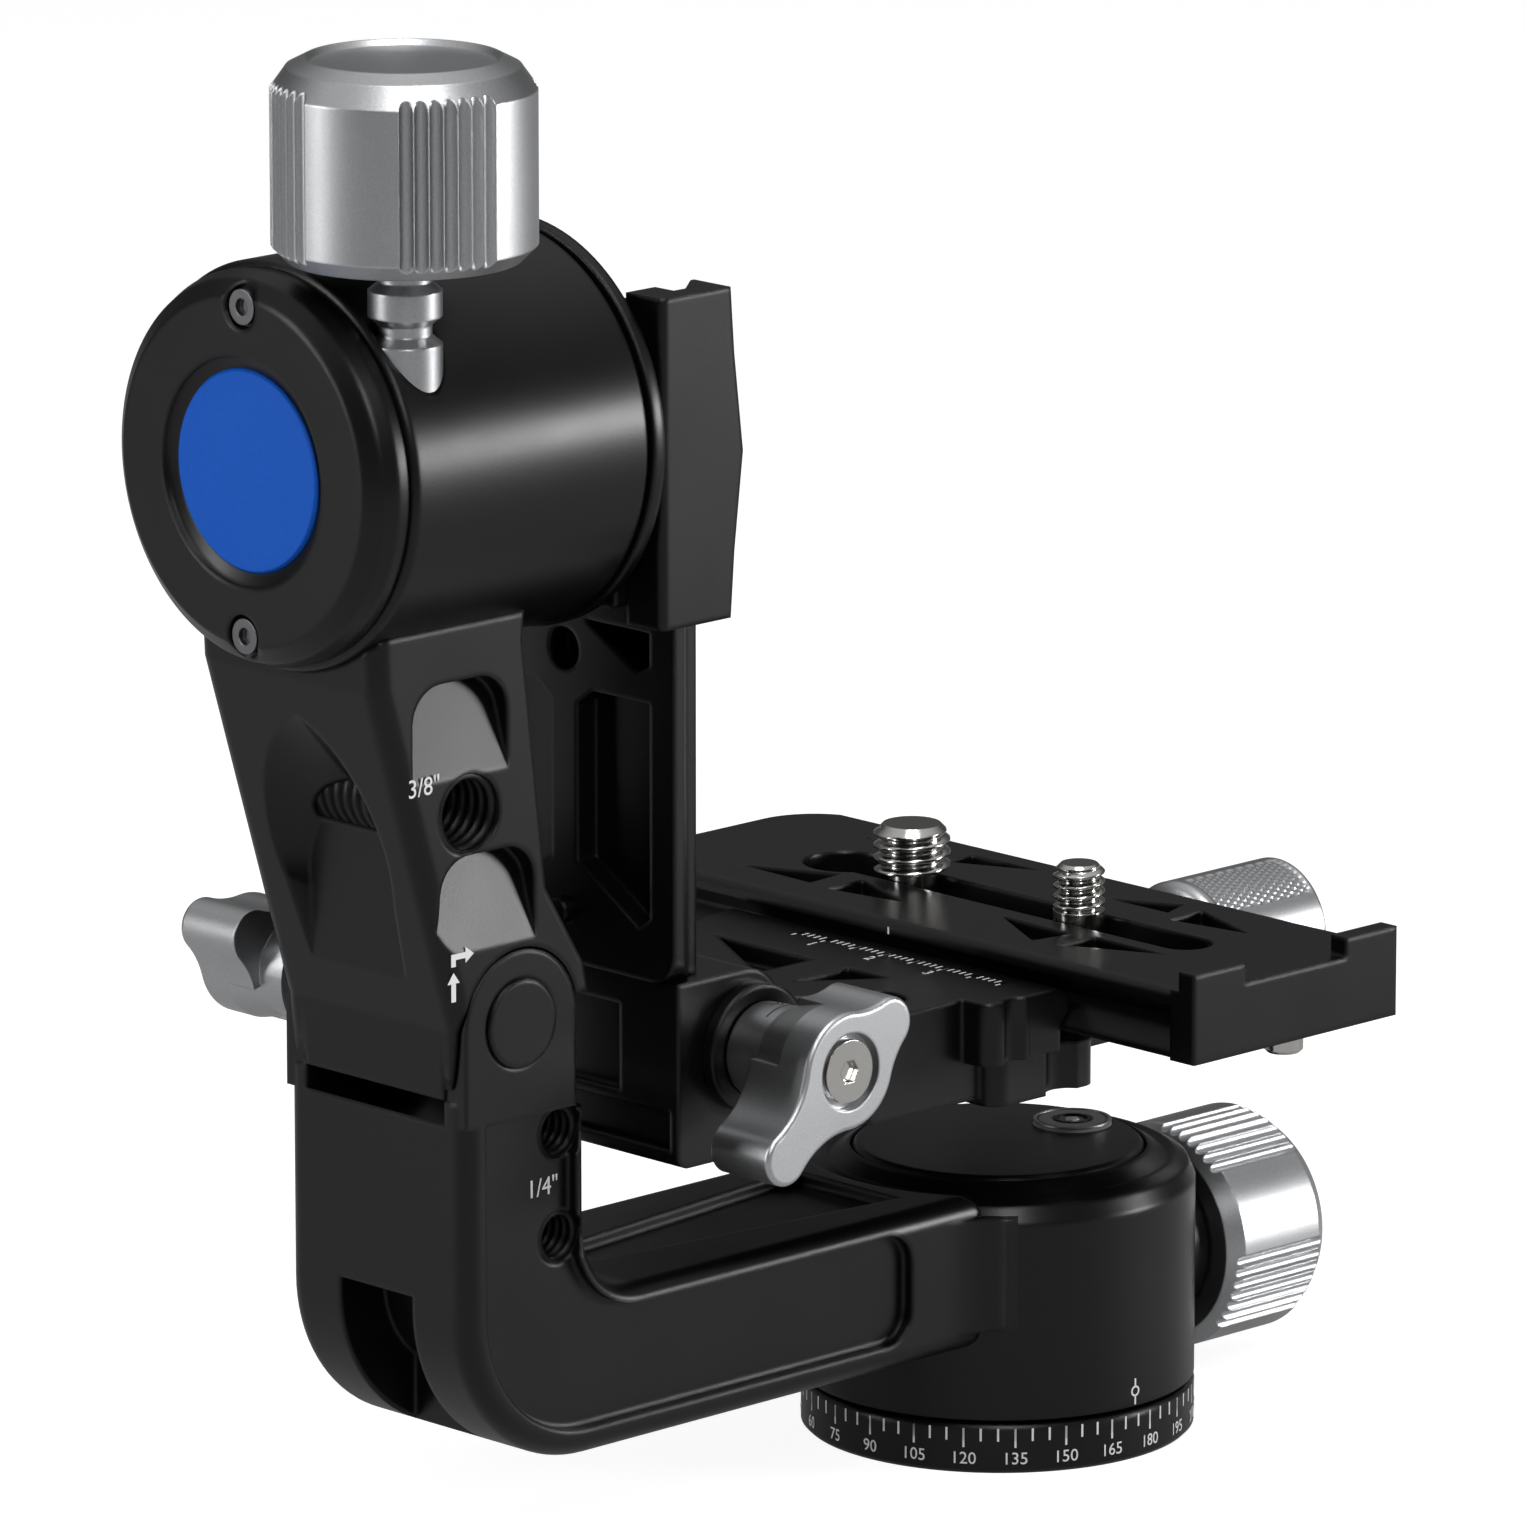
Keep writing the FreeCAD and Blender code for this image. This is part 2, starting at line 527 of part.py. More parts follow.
def tilt_knob():
    knob = fluted_knob(LOCK_KNOB_R, LOCK_KNOB_LENGTH, (LOCK_X, LOCK_Y, LOCK_KNOB_Z), (0, 0, 1))
    knob.rotate(V(LOCK_X, LOCK_Y, 0), V(0, 0, 1), 45)
    low = LOCK_SEAT_Z + 3
    return knob.fuse(rod((LOCK_X, LOCK_Y, low), (0, 0, 1), STEM_R / 2, LOCK_KNOB_Z + 2 - low))


def rail_body():
    """Dovetail rail: waisted section, rounded lower corners and pocketed outer face."""
    x0, x1 = RAIL_X, RAIL_X + RAIL_THICK
    w, n = RAIL_HALF_Y, RAIL_HALF_Y - RAIL_WAIST
    section = [(x0, -w, 0), (x0 + 1.6, -w, 0), (x1 - 1.4, -n, 0), (x1, -n, 0), (x1, n, 0),
               (x1 - 1.4, n, 0), (x0 + 1.6, w, 0), (x0, w, 0)]
    body = prism(section, (0, 0, RAIL_LOW), (0, 0, RAIL_HIGH - RAIL_LOW))
    corner = RAIL_CORNER_R
    for side in (-1, 1):
        blank = box(x0 - 1, x1 + 1, *sorted((side * (w + 1), side * (w - corner))),
                    RAIL_LOW - 1, RAIL_LOW + corner)
        spot = (x0 - 1, side * (w - corner), RAIL_LOW + corner)
        body = body.cut(blank.cut(rod(spot, (1, 0, 0), corner, RAIL_THICK + 2)))
    cuts = []
    for side in (-1, 1):
        points = [(0, 2.2, 103), (0, 5, 105), (0, 14.6, 105), (0, 14.6, 79), (0, 12.6, 77.5), (0, 2.2, 84)]
        pts = [(x, side * y, z) for x, y, z in points]
        cuts.append(prism(pts, (x0 - 1, 0, 0), (4.2, 0, 0)))
        top = [(0, side * 3.5, 113.5), (0, side * 14.6, 113.5), (0, side * 14.6, 109.5), (0, side * 12.5, 108.4)]
        cuts.append(prism(top, (x0 - 1, 0, 0), (4.2, 0, 0)))
    cuts.append(rod((x0 - 1, 0, 109.4), (1, 0, 0), 2.6, 4.2))
    for z in (RAIL_LOW + 6.3, RAIL_HIGH - 4):
        cuts.append(rod((x0 - 1, 0, z), (1, 0, 0), 1.5, 4.0))
    return body.cut(cuts)


def rail_stops():
    pins = [rod((RAIL_X + 3.0, 0, z), (-1, 0, 0), 1.5, 4.4) for z in (RAIL_LOW + 6.3,)]
    pins.append(rod((RAIL_X + 3.0, 0, RAIL_HIGH - 4), (-1, 0, 0), 1.5, 2.8))
    return Part.makeCompound(pins)


def rail_space(side):
    """Room for one dovetail edge of the rail, with its clearance, inside a jaw."""
    x0, x1 = RAIL_X - GAP, RAIL_X + RAIL_THICK + GAP
    w, n = side * (RAIL_HALF_Y + GAP), side * (RAIL_HALF_Y - RAIL_WAIST + GAP)
    pts = [(x0, 0, 0), (x0, w, 0), (x0 + 1.6 + GAP, w, 0), (x1 - 1.4, n, 0), (x1, n, 0), (x1, 0, 0)]
    return prism(pts, (0, 0, BRACKET_LOW - 1), (0, 0, BRACKET_HIGH - BRACKET_LOW + 2))


def bracket_floor():
    x0 = HOUSING_IN_X + GAP + FLANGE_H
    half = BRACKET_HALF_Y - 6
    return rounded(box(x0, RAIL_X - GAP, -half, half, BRACKET_LOW + 2, BRACKET_HIGH - 2), 1.0, (1, 0, 0))


def bracket_jaw(side):
    """Clamping jaw that hooks round one edge of the rail, with a bulged inner side."""
    outer, inner = side * BRACKET_HALF_Y, side * (BRACKET_HALF_Y - BRACKET_JAW)
    y0, y1 = sorted((outer, inner))
    mid = (BRACKET_LOW + BRACKET_HIGH) / 2
    x1 = BRACKET_IN_X
    pts = [(BRACKET_OUT_X, 0, BRACKET_LOW), (x1 - 1.6, 0, BRACKET_LOW), (x1 - 1.0, 0, BRACKET_LOW + 8),
           (x1 + 0.4, 0, mid), (x1 - 1.0, 0, BRACKET_HIGH - 8), (x1 - 1.6, 0, BRACKET_HIGH),
           (BRACKET_OUT_X, 0, BRACKET_HIGH)]
    body = prism(pts, (0, y0, 0), (0, y1 - y0, 0))
    body = rounded(body, 1.0, (0, 0, 1))
    floor = box(BRACKET_OUT_X - 1, RAIL_X, *sorted((side * (BRACKET_HALF_Y - 6), 0)),
                BRACKET_LOW - 1, BRACKET_HIGH + 1)
    bore = rod((BRACKET_OUT_X + 2.4, 0, mid), (0, side, 0), JAW_SCREW_R + FIT, BRACKET_HALF_Y + 1)
    body = body.cut([rail_space(side), floor])
    return body.cut(bore) if side > 0 else body


def jaw_knob():
    """Knob that stands clear of the flange on a collar, with its screw in the rear jaw."""
    mid = (BRACKET_LOW + BRACKET_HIGH) / 2
    x = BRACKET_OUT_X + 2.4
    start = FLANGE_R + GAP
    knob = fluted_knob(QR_KNOB_R, QR_KNOB_LENGTH * 0.8, (x, start, mid), (0, 1, 0))
    collar = rod((x, BRACKET_HALF_Y + FIT, mid), (0, 1, 0), JAW_SCREW_R * 1.3, start - BRACKET_HALF_Y)
    screw = rod((x, BRACKET_HALF_Y - 5.4, mid), (0, 1, 0), JAW_SCREW_R, 7)
    return knob.fuse([collar, screw])


def tongue_space():
    return box(TONGUE_END_X - 2, BLOCK_IN_X + 1, -TONGUE_HALF_Y - FIT, TONGUE_HALF_Y + FIT,
               TONGUE_Z - FIT, TONGUE_Z + TONGUE_H + FIT)


def clamp_block():
    """Block under the rail: rounded corners, a slot for the tongue and a crosswise bore."""
    body = box(BLOCK_OUT_X, BLOCK_IN_X, -BLOCK_HALF_Y, BLOCK_HALF_Y, BLOCK_LOW, RAIL_LOW)
    top = [e for e in body.Edges if e.BoundBox.XMin > BLOCK_IN_X - 0.1 and e.BoundBox.ZMin > RAIL_LOW - 0.1]
    body = body.makeFillet(6.0, top)
    low = [e for e in body.Edges if e.BoundBox.ZMax < BLOCK_LOW + 0.1 and e.BoundBox.YLength > 1]
    body = body.makeFillet(1.6, low)
    recess = box(BLOCK_OUT_X - 1, BLOCK_OUT_X + 1.4, -8, 8, BLOCK_LOW + 8, RAIL_LOW - 4)
    bore = rod((LEVER_X, -BLOCK_HALF_Y - 1, LEVER_Z), (0, 1, 0), STEM_R + FIT, 2 * BLOCK_HALF_Y)
    return body.cut([tongue_space(), recess, bore])


def lever_collar():
    ring = rod((LEVER_X, -BLOCK_HALF_Y, LEVER_Z), (0, -1, 0), LEVER_HUB_R + 0.6, 2.0)
    return ring.cut(rod((LEVER_X, -BLOCK_HALF_Y + 1, LEVER_Z), (0, -1, 0), STEM_R + FIT, 5))


def fold_collar():
    ring = rod((PIN_X, ARM_HALF_Y, PIN_Z), (0, 1, 0), LEVER_HUB_R + 0.6, 2.0)
    return ring.cut(rod((PIN_X, ARM_HALF_Y - 1, PIN_Z), (0, 1, 0), STEM_R + FIT, 5))


def platform():
    """Tongue, thick pocketed deck, bed under the plate and the fixed jaw, all one piece."""
    tongue = box(TONGUE_END_X, -BED_HALF_X, -TONGUE_HALF_Y, TONGUE_HALF_Y, TONGUE_Z, TONGUE_Z + TONGUE_H)
    bed = box(-BED_HALF_X, PLATE_HALF_X, -BED_HALF_Y, BED_HALF_Y, TONGUE_Z - 1.2, PLATE_LOW - GAP)
    body = deck().fuse([tongue, rounded(bed, 2.0, (0, 0, 1)), jaw_outline(-1, JAW_HALF_Y)])
    for side in (-1, 1):
        body = body.fuse(deck_lobes(side))
    body = body.removeSplitter()
    bore = rod((PLATE_HALF_X - 2 * QR_SCREW_REACH, 0, QR_SCREW_Z), (1, 0, 0), QR_SCREW_R + FIT, 20)
    return body.cut(deck_pockets() + [bore])


def deck():
    """Deck beside the clamp block, wider toward the jaw, with softened upper edges."""
    x0, x1 = BLOCK_IN_X + GAP, -BED_HALF_X - 1.6
    points = [(x1, -DECK_HALF_Y, 0), (x0 + 9, -DECK_HALF_Y, 0), (x0, -BLOCK_HALF_Y + 2, 0),
              (x0, BLOCK_HALF_Y - 2, 0), (x0 + 9, DECK_HALF_Y, 0), (x1, DECK_HALF_Y, 0)]
    slab = prism(points, (0, 0, DECK_LOW), (0, 0, DECK_HIGH - DECK_LOW))
    rim = [e for e in slab.Edges if e.BoundBox.ZLength < 0.1 and e.BoundBox.XMax < x1 - 0.1]
    return slab.makeFillet(0.8, rim)


def deck_lobes(side):
    """Upper and lower waved lobes where the deck's edge meets the jaw."""
    jaw_x = -BED_HALF_X - 1.6
    span = sorted((side * (DECK_HALF_Y - 3), side * JAW_HALF_Y))
    upper = rounded(box(jaw_x - 7, jaw_x + 1.6, *span, STEP_HIGH, DECK_HIGH), 2.0, (0, 0, 1))
    span = sorted((side * (BED_HALF_Y - 3), side * STEP_HALF_Y))
    lower = rounded(box(jaw_x - 4, jaw_x + 14, *span, STEP_LOW, STEP_HIGH), 2.4, (0, 0, 1))
    waves = [rod((jaw_x - 2.6, side * (JAW_HALF_Y + 1.0), STEP_HIGH - 1), (0, 0, 1), 2.0, 20),
             rod((jaw_x + 7.5, side * (STEP_HALF_Y + 1.4), 0), (0, 0, 1), 3.0, STEP_HIGH + 0.1)]
    return upper.fuse(lower).cut(waves)


def deck_pockets():
    """Triangular pockets and the oval hole in the deck."""
    x0, x1 = BLOCK_IN_X + GAP + 3.5, -BED_HALF_X - 7.5
    mid = (x0 + x1) / 2
    low, deep = DECK_HIGH - DECK_POCKET, DECK_POCKET + 1
    half = DECK_HALF_Y - 3.5
    cuts = []
    for y0, y1 in ((3.0, half), (-3.0, -half * 0.5)):
        cuts.append(prism([(x0, y0, 0), (x0, y1, 0), (mid - 1.5, y1, 0)], (0, 0, low), (0, 0, deep)))
        cuts.append(prism([(x1, y0, 0), (x1, y1, 0), (mid + 1.5, y0, 0)], (0, 0, low), (0, 0, deep)))
    oval = box(mid - 6.5, mid + 6.5, -half + 0.5, -half + 7.5, DECK_HIGH - 9, DECK_HIGH + 1)
    return cuts + [rounded(oval, 3.4, (0, 0, 1))]


def jaw_outline(side, half_y):
    """Dovetail jaw along Y: a wall whose inner tooth leans into the plate's groove."""
    x0, x1 = PLATE_HALF_X + GAP, BED_HALF_X + 1.6
    mid = (PLATE_LOW + PLATE_HIGH) / 2
    low = PLATE_LOW - 2
    pts = [(x0, 0, low), (x0, 0, mid - 3.4), (x0 - 1.6, 0, mid - 1.5), (x0 - 1.6, 0, mid + 0.4),
           (x0 + 0.3, 0, DECK_HIGH), (x1, 0, DECK_HIGH), (x1, 0, low)]
    pts = [(side * x, y, z) for x, y, z in pts]
    return prism(pts, (0, -half_y, 0), (0, 2 * half_y, 0))


def qr_jaw():
    wall = jaw_outline(1, STEP_HALF_Y)
    skirt = box(PLATE_HALF_X + GAP, BED_HALF_X + 1.6, -STEP_HALF_Y, STEP_HALF_Y, TONGUE_Z - 1.2, PLATE_LOW - 2)
    bore = rod((0, 0, QR_SCREW_Z), (1, 0, 0), QR_SCREW_R + FIT, 50)
    return rounded(wall.fuse(skirt).removeSplitter(), 1.2, (0, 0, 1)).cut(bore)


def qr_knob():
    """Slim knob on a round neck, with its screw in the moving jaw."""
    face = BED_HALF_X + 1.6 + GAP
    start = face + QR_NECK_LENGTH
    knob = fluted_knob(QR_KNOB_R, QR_KNOB_LENGTH, (start, 0, QR_SCREW_Z), (1, 0, 0))
    neck = rod((face, 0, QR_SCREW_Z), (1, 0, 0), QR_NECK_R, QR_NECK_LENGTH + 1)
    return knob.fuse([neck, rod((face - QR_SCREW_REACH, 0, QR_SCREW_Z), (1, 0, 0), QR_SCREW_R, QR_SCREW_REACH + 1)])


def plate_section():
    w, g, mid = PLATE_HALF_X, PLATE_HALF_X - GROOVE_DEPTH, (PLATE_LOW + PLATE_HIGH) / 2
    right = [(w - 1, PLATE_LOW), (w, PLATE_LOW + 0.8), (g, mid), (w, mid + 2.6), (w, PLATE_HIGH - 0.8),
             (w - 0.8, PLATE_HIGH)]
    points = right + [(-x, z) for x, z in reversed(right)]
    return [(x, 0, z) for x, z in points]


def lens_plate():
    """Long dovetail plate with end block, two prongs, a keyhole slot and corner pockets."""
    body = prism(plate_section(), (0, -PLATE_HALF_Y, 0), (0, 2 * PLATE_HALF_Y, 0))
    end = box(-PLATE_HALF_X, PLATE_HALF_X, -PLATE_HALF_Y, -PLATE_HALF_Y + 4, PLATE_LOW, PLATE_HIGH)
    prongs = []
    for x in (-PLATE_HALF_X, PLATE_HALF_X - 8.8):
        prongs.append(box(x, x + 8.8, -PLATE_HALF_Y, -PLATE_HALF_Y + 2.6, PLATE_HIGH - 1, PLATE_HIGH + PRONG_H))
    body = body.fuse([end] + prongs)
    far = []
    for side in (-1, 1):
        corner = box(*sorted((side * (PLATE_HALF_X + 1), side * (PLATE_HALF_X - 9))), PLATE_HALF_Y - 9,
                     PLATE_HALF_Y + 1, PLATE_LOW - 1, PLATE_HIGH + 1)
        spot = (side * (PLATE_HALF_X - 9), PLATE_HALF_Y - 9, PLATE_LOW - 1)
        far.append(corner.cut(rod(spot, (0, 0, 1), 9, PLATE_HIGH - PLATE_LOW + 2)))
    slot = box(-SLOT_HALF, SLOT_HALF, -31.5, 27, PLATE_LOW - 1, PLATE_HIGH + 1)
    ends = [rod((0, -31.5, PLATE_LOW - 1), (0, 0, 1), SLOT_HALF, 12), rod((0, 26.5, PLATE_LOW - 1), (0, 0, 1), 5.6, 12)]
    channel = box(-5.9, 5.9, -31.5, 32.1, PLATE_LOW - 1, PLATE_LOW + 3.4)
    return body.cut(far + [slot, channel] + ends + plate_pockets())


def plate_pockets():
    """Triangular pockets beside the slot, wide end toward the plate's nearer end."""
    corners = [[(-10.6, 34.6), (-4.8, 22.4), (-11.0, 21.9)], [(-11.7, 18.4), (-5.2, 18.5), (-9.9, 6.6)],
               [(10.6, 34.6), (7.4, 22.4), (13.6, 21.9)], [(8.2, 19.0), (13.7, 18.2), (13.8, 6.4)],
               [(-6.0, -6.1), (-6.4, -18.7), (-12.3, -17.7)], [(-11.6, -21.2), (-5.5, -21.7), (-5.7, -33.8)],
               [(9.4, -8.7), (13.9, -18.0), (9.5, -19.5)], [(7.0, -21.9), (13.2, -21.7), (8.9, -33.6)]]
    low = PLATE_HIGH - POCKET_DEPTH
    return [prism([(x, y, 0) for x, y in c], (0, 0, low), (0, 0, POCKET_DEPTH + 1)) for c in corners]


def stud(radius, y):
    """Camera screw that stands through the slot on a head sliding in the plate's channel."""
    head = rod((0, y, PLATE_LOW + 0.9), (0, 0, 1), 5.6, 2.4)
    shank = rod((0, y, PLATE_LOW + 3.3), (0, 0, 1), min(radius, SLOT_HALF - 0.15), PLATE_HIGH - PLATE_LOW - 2.2)
    thread = turned([(0, PLATE_HIGH + 1.1), (radius - 0.6, PLATE_HIGH + 1.1), (radius, PLATE_HIGH + 1.7),
                     (radius, PLATE_HIGH + SCREW_PROUD - 0.9), (radius - 0.9, PLATE_HIGH + SCREW_PROUD),
                     (0, PLATE_HIGH + SCREW_PROUD)], (0, y, 0), (0, 0, 1))
    return head.fuse([shank, thread])


def safety_peg():
    peg = rod((3.7, -PLATE_HALF_Y + 5.5, PLATE_LOW), (0, 0, -1), 2.4, 3.0)
    return peg.makeChamfer(0.4, [e for e in peg.Edges if e.BoundBox.ZMax < PLATE_LOW - 2.9])


def sub_parts():
    front = (LEVER_X, -BLOCK_HALF_Y - 2.0 - GAP, LEVER_Z)
    back = (PIN_X, ARM_HALF_Y + 2.0 + GAP, PIN_Z)
    return {
        "base_dial": base_dial(), "pan_housing": pan_housing(), "housing_cover": housing_cover(),
        "bubble_vial": bubble_vial(), "pan_collar": pan_collar(), "pan_knob": pan_knob(),
        "lower_arm": lower_arm(), "hinge_pin": hinge_pin(), "upper_arm": upper_arm(),
        "fold_collar": fold_collar(), "fold_lever": lever(back, 1), "fold_lever_screw": lever_screw(back, 1, 2.2),
        "tilt_housing": tilt_housing(), "tilt_cap": tilt_cap(), "cap_disc": cap_disc(),
        "cap_screws": cap_screws(), "tilt_shaft": tilt_shaft(), "lock_stem": lock_stem(),
        "tilt_knob": tilt_knob(), "bracket_floor": bracket_floor(), "bracket_jaw_front": bracket_jaw(-1),
        "bracket_jaw_rear": bracket_jaw(1), "jaw_knob": jaw_knob(), "rail": rail_body(),
        "rail_stops": rail_stops(), "clamp_block": clamp_block(), "lever_collar": lever_collar(),
        "clamp_lever": lever(front, -1), "clamp_lever_screw": lever_screw(front, -1, 12.0),
        "platform": platform(), "qr_jaw": qr_jaw(), "qr_knob": qr_knob(), "lens_plate": lens_plate(),
        "camera_screw_large": stud(CAMERA_SCREW_R, CAMERA_SCREW_Y),
        "camera_screw_small": stud(SMALL_SCREW_R, SMALL_SCREW_Y), "safety_peg": safety_peg(),
    }


os.makedirs("parts", exist_ok=True)
for name, shape in sub_parts().items():
    shape.exportStep("parts/" + name + ".step")
    box_of = shape.BoundBox
    print(name, len(shape.Solids), shape.isValid(), round(shape.Volume, 1),
          [round(v, 1) for v in (box_of.XMin, box_of.XMax, box_of.YMin, box_of.YMax, box_of.ZMin, box_of.ZMax)])
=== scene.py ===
"""Looks of the gimbal tripod head: finishes, markings, threads, level and studio."""
from __future__ import annotations

import json
import logging
import math
from dataclasses import dataclass
from enum import Enum

import bmesh
import bpy
from mathutils import Matrix, Vector

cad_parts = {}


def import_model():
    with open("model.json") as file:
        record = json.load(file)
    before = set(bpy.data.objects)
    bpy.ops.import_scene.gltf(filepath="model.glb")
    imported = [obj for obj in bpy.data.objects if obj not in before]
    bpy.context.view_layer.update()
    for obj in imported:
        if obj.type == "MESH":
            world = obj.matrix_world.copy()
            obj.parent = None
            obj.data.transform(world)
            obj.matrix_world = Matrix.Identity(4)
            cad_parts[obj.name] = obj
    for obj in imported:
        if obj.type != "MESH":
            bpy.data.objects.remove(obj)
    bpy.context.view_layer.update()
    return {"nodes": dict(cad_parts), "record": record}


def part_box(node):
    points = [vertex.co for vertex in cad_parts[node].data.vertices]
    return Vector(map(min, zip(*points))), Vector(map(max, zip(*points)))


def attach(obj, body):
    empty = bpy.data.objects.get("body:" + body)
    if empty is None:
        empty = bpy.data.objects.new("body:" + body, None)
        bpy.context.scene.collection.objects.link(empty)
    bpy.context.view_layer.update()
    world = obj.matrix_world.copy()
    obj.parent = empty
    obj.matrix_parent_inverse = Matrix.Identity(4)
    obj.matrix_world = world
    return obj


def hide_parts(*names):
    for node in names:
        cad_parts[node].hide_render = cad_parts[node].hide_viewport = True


LOG = logging.getLogger("gimbal_head")
MM = 0.001
THREAD_WALL = 0.02 * MM    # plain wall outside the thread of a hole
THREAD_CHAMFER = 1.4       # length of a stud's chamfer in thread depths


class Grain(Enum):
    """Surface grain of a metal finish."""

    BLASTED = "blasted"
    MACHINED = "machined"


def linear(code: str) -> tuple[float, float, float, float]:
    """Turn an sRGB hex colour into linear light.

    Args:
        code: Six hex digits.

    Returns:
        Linear red, green, blue and an alpha of 1.
    """
    parts = [int(code[i:i + 2], 16) / 255 for i in (0, 2, 4)]
    flat = [c / 12.92 if c <= 0.04045 else ((c + 0.055) / 1.055) ** 2.4 for c in parts]
    return (*flat, 1.0)


def add_node(tree: bpy.types.NodeTree, kind: str, **values: object) -> bpy.types.Node:
    """Add a node and set its properties or sockets by name.

    Args:
        tree: The node tree that gets the node.
        kind: Blender's node type name.
        **values: Properties, or socket names with spaces as underscores.

    Returns:
        The new node.
    """
    node = tree.nodes.new(kind)
    for name, value in values.items():
        if hasattr(node, name):
            setattr(node, name, value)
        else:
            node.inputs[name.replace("_", " ")].default_value = value
    return node


@dataclass(frozen=True)
class MetalFinish:
    """Anodised or machined metal with a fine grain and softened edges.

    Args:
        name: Material name.
        colour: sRGB hex colour.
        roughness: Middle roughness.
        grain: Kind of grain.
        grain_mm: Size of one grain in millimetres.
        bump_mm: Height of the grain in millimetres.
        metallic: How metallic the surface is.
        edge_mm: Radius that softens the shading of sharp edges.
        gloss: Specular level of a surface that isn't all metal.
        cloud_mm: Size of the soft patches in which the roughness changes.
        tint_range: Least and most of the colour, as shares of it.
        rough_range: Least and most of the roughness, as shares of it.
        stretch: How much closer the marks of a turned surface lie along the axis.
    """

    name: str
    colour: str
    roughness: float
    grain: Grain = Grain.BLASTED
    grain_mm: float = 0.28
    bump_mm: float = 0.01
    metallic: float = 1.0
    edge_mm: float = 0.35
    gloss: float = 0.5
    cloud_mm: float = 14.0
    tint_range: tuple[float, float] = (0.82, 1.16)
    rough_range: tuple[float, float] = (0.85, 1.18)
    stretch: float = 6.0

    def build(self) -> bpy.types.Material:
        """Make the material.

        Returns:
            The finished material.
        """
        material = bpy.data.materials.new(self.name)
        material.use_nodes = True
        tree = material.node_tree
        shader = tree.nodes["Principled BSDF"]
        shader.inputs["Metallic"].default_value = self.metallic
        shader.inputs["Specular IOR Level"].default_value = self.gloss
        place = add_node(tree, "ShaderNodeTexCoord")
        stretch = add_node(tree, "ShaderNodeMapping")
        if self.grain is Grain.MACHINED:
            stretch.inputs["Scale"].default_value = (1.0, 1.0, self.stretch)
        grain = add_node(tree, "ShaderNodeTexNoise", Scale=1.0 / (self.grain_mm * MM), Detail=3.0)
        cloud = add_node(tree, "ShaderNodeTexNoise", Scale=1.0 / (self.cloud_mm * MM), Detail=2.0)
        tint = add_node(tree, "ShaderNodeMix", data_type="RGBA")
        base = linear(self.colour)
        dark, light = self.tint_range
        tint.inputs[6].default_value = tuple(c * dark for c in base[:3]) + (1.0,)
        tint.inputs[7].default_value = tuple(min(1.0, c * light) for c in base[:3]) + (1.0,)
        spread = add_node(tree, "ShaderNodeMapRange")
        spread.inputs["To Min"].default_value = self.roughness * self.rough_range[0]
        spread.inputs["To Max"].default_value = self.roughness * self.rough_range[1]
        bump = add_node(tree, "ShaderNodeBump", Strength=0.35, Distance=self.bump_mm * MM)
        edge = add_node(tree, "ShaderNodeBevel", samples=6, Radius=self.edge_mm * MM)
        links = tree.links
        links.new(place.outputs["Object"], stretch.inputs["Vector"])
        links.new(stretch.outputs["Vector"], grain.inputs["Vector"])
        links.new(stretch.outputs["Vector"], cloud.inputs["Vector"])
        links.new(grain.outputs["Fac"], tint.inputs[0])
        links.new(tint.outputs[2], shader.inputs["Base Color"])
        links.new(cloud.outputs["Fac"], spread.inputs["Value"])
        links.new(spread.outputs["Result"], shader.inputs["Roughness"])
        links.new(grain.outputs["Fac"], bump.inputs["Height"])
        links.new(edge.outputs["Normal"], bump.inputs["Normal"])
        links.new(bump.outputs["Normal"], shader.inputs["Normal"])
        return material


@dataclass(frozen=True)
class PlainFinish:
    """Ink, engraved line or level fluid.

    Args:
        name: Material name.
        colour: sRGB hex colour.
        roughness: Roughness.
        mottle_mm: Size of the faint unevenness in the colour.
        mottle_dark: Darkest colour as a share of the full one.
    """

    name: str
    colour: str
    roughness: float = 0.5
    mottle_mm: float = 0.5
    mottle_dark: float = 0.9

    def build(self) -> bpy.types.Material:
        """Make the material.

        Returns:
            The finished material.
        """
        material = bpy.data.materials.new(self.name)
        material.use_nodes = True
        tree = material.node_tree
        shader = tree.nodes["Principled BSDF"]
        shader.inputs["Roughness"].default_value = self.roughness
        mottle = add_node(tree, "ShaderNodeTexNoise", Scale=1.0 / (self.mottle_mm * MM), Detail=2.0)
        tint = add_node(tree, "ShaderNodeMix", data_type="RGBA")
        base = linear(self.colour)
        tint.inputs[6].default_value = tuple(c * self.mottle_dark for c in base[:3]) + (1.0,)
        tint.inputs[7].default_value = base
        tree.links.new(mottle.outputs["Fac"], tint.inputs[0])
        tree.links.new(tint.outputs[2], shader.inputs["Base Color"])
        return material


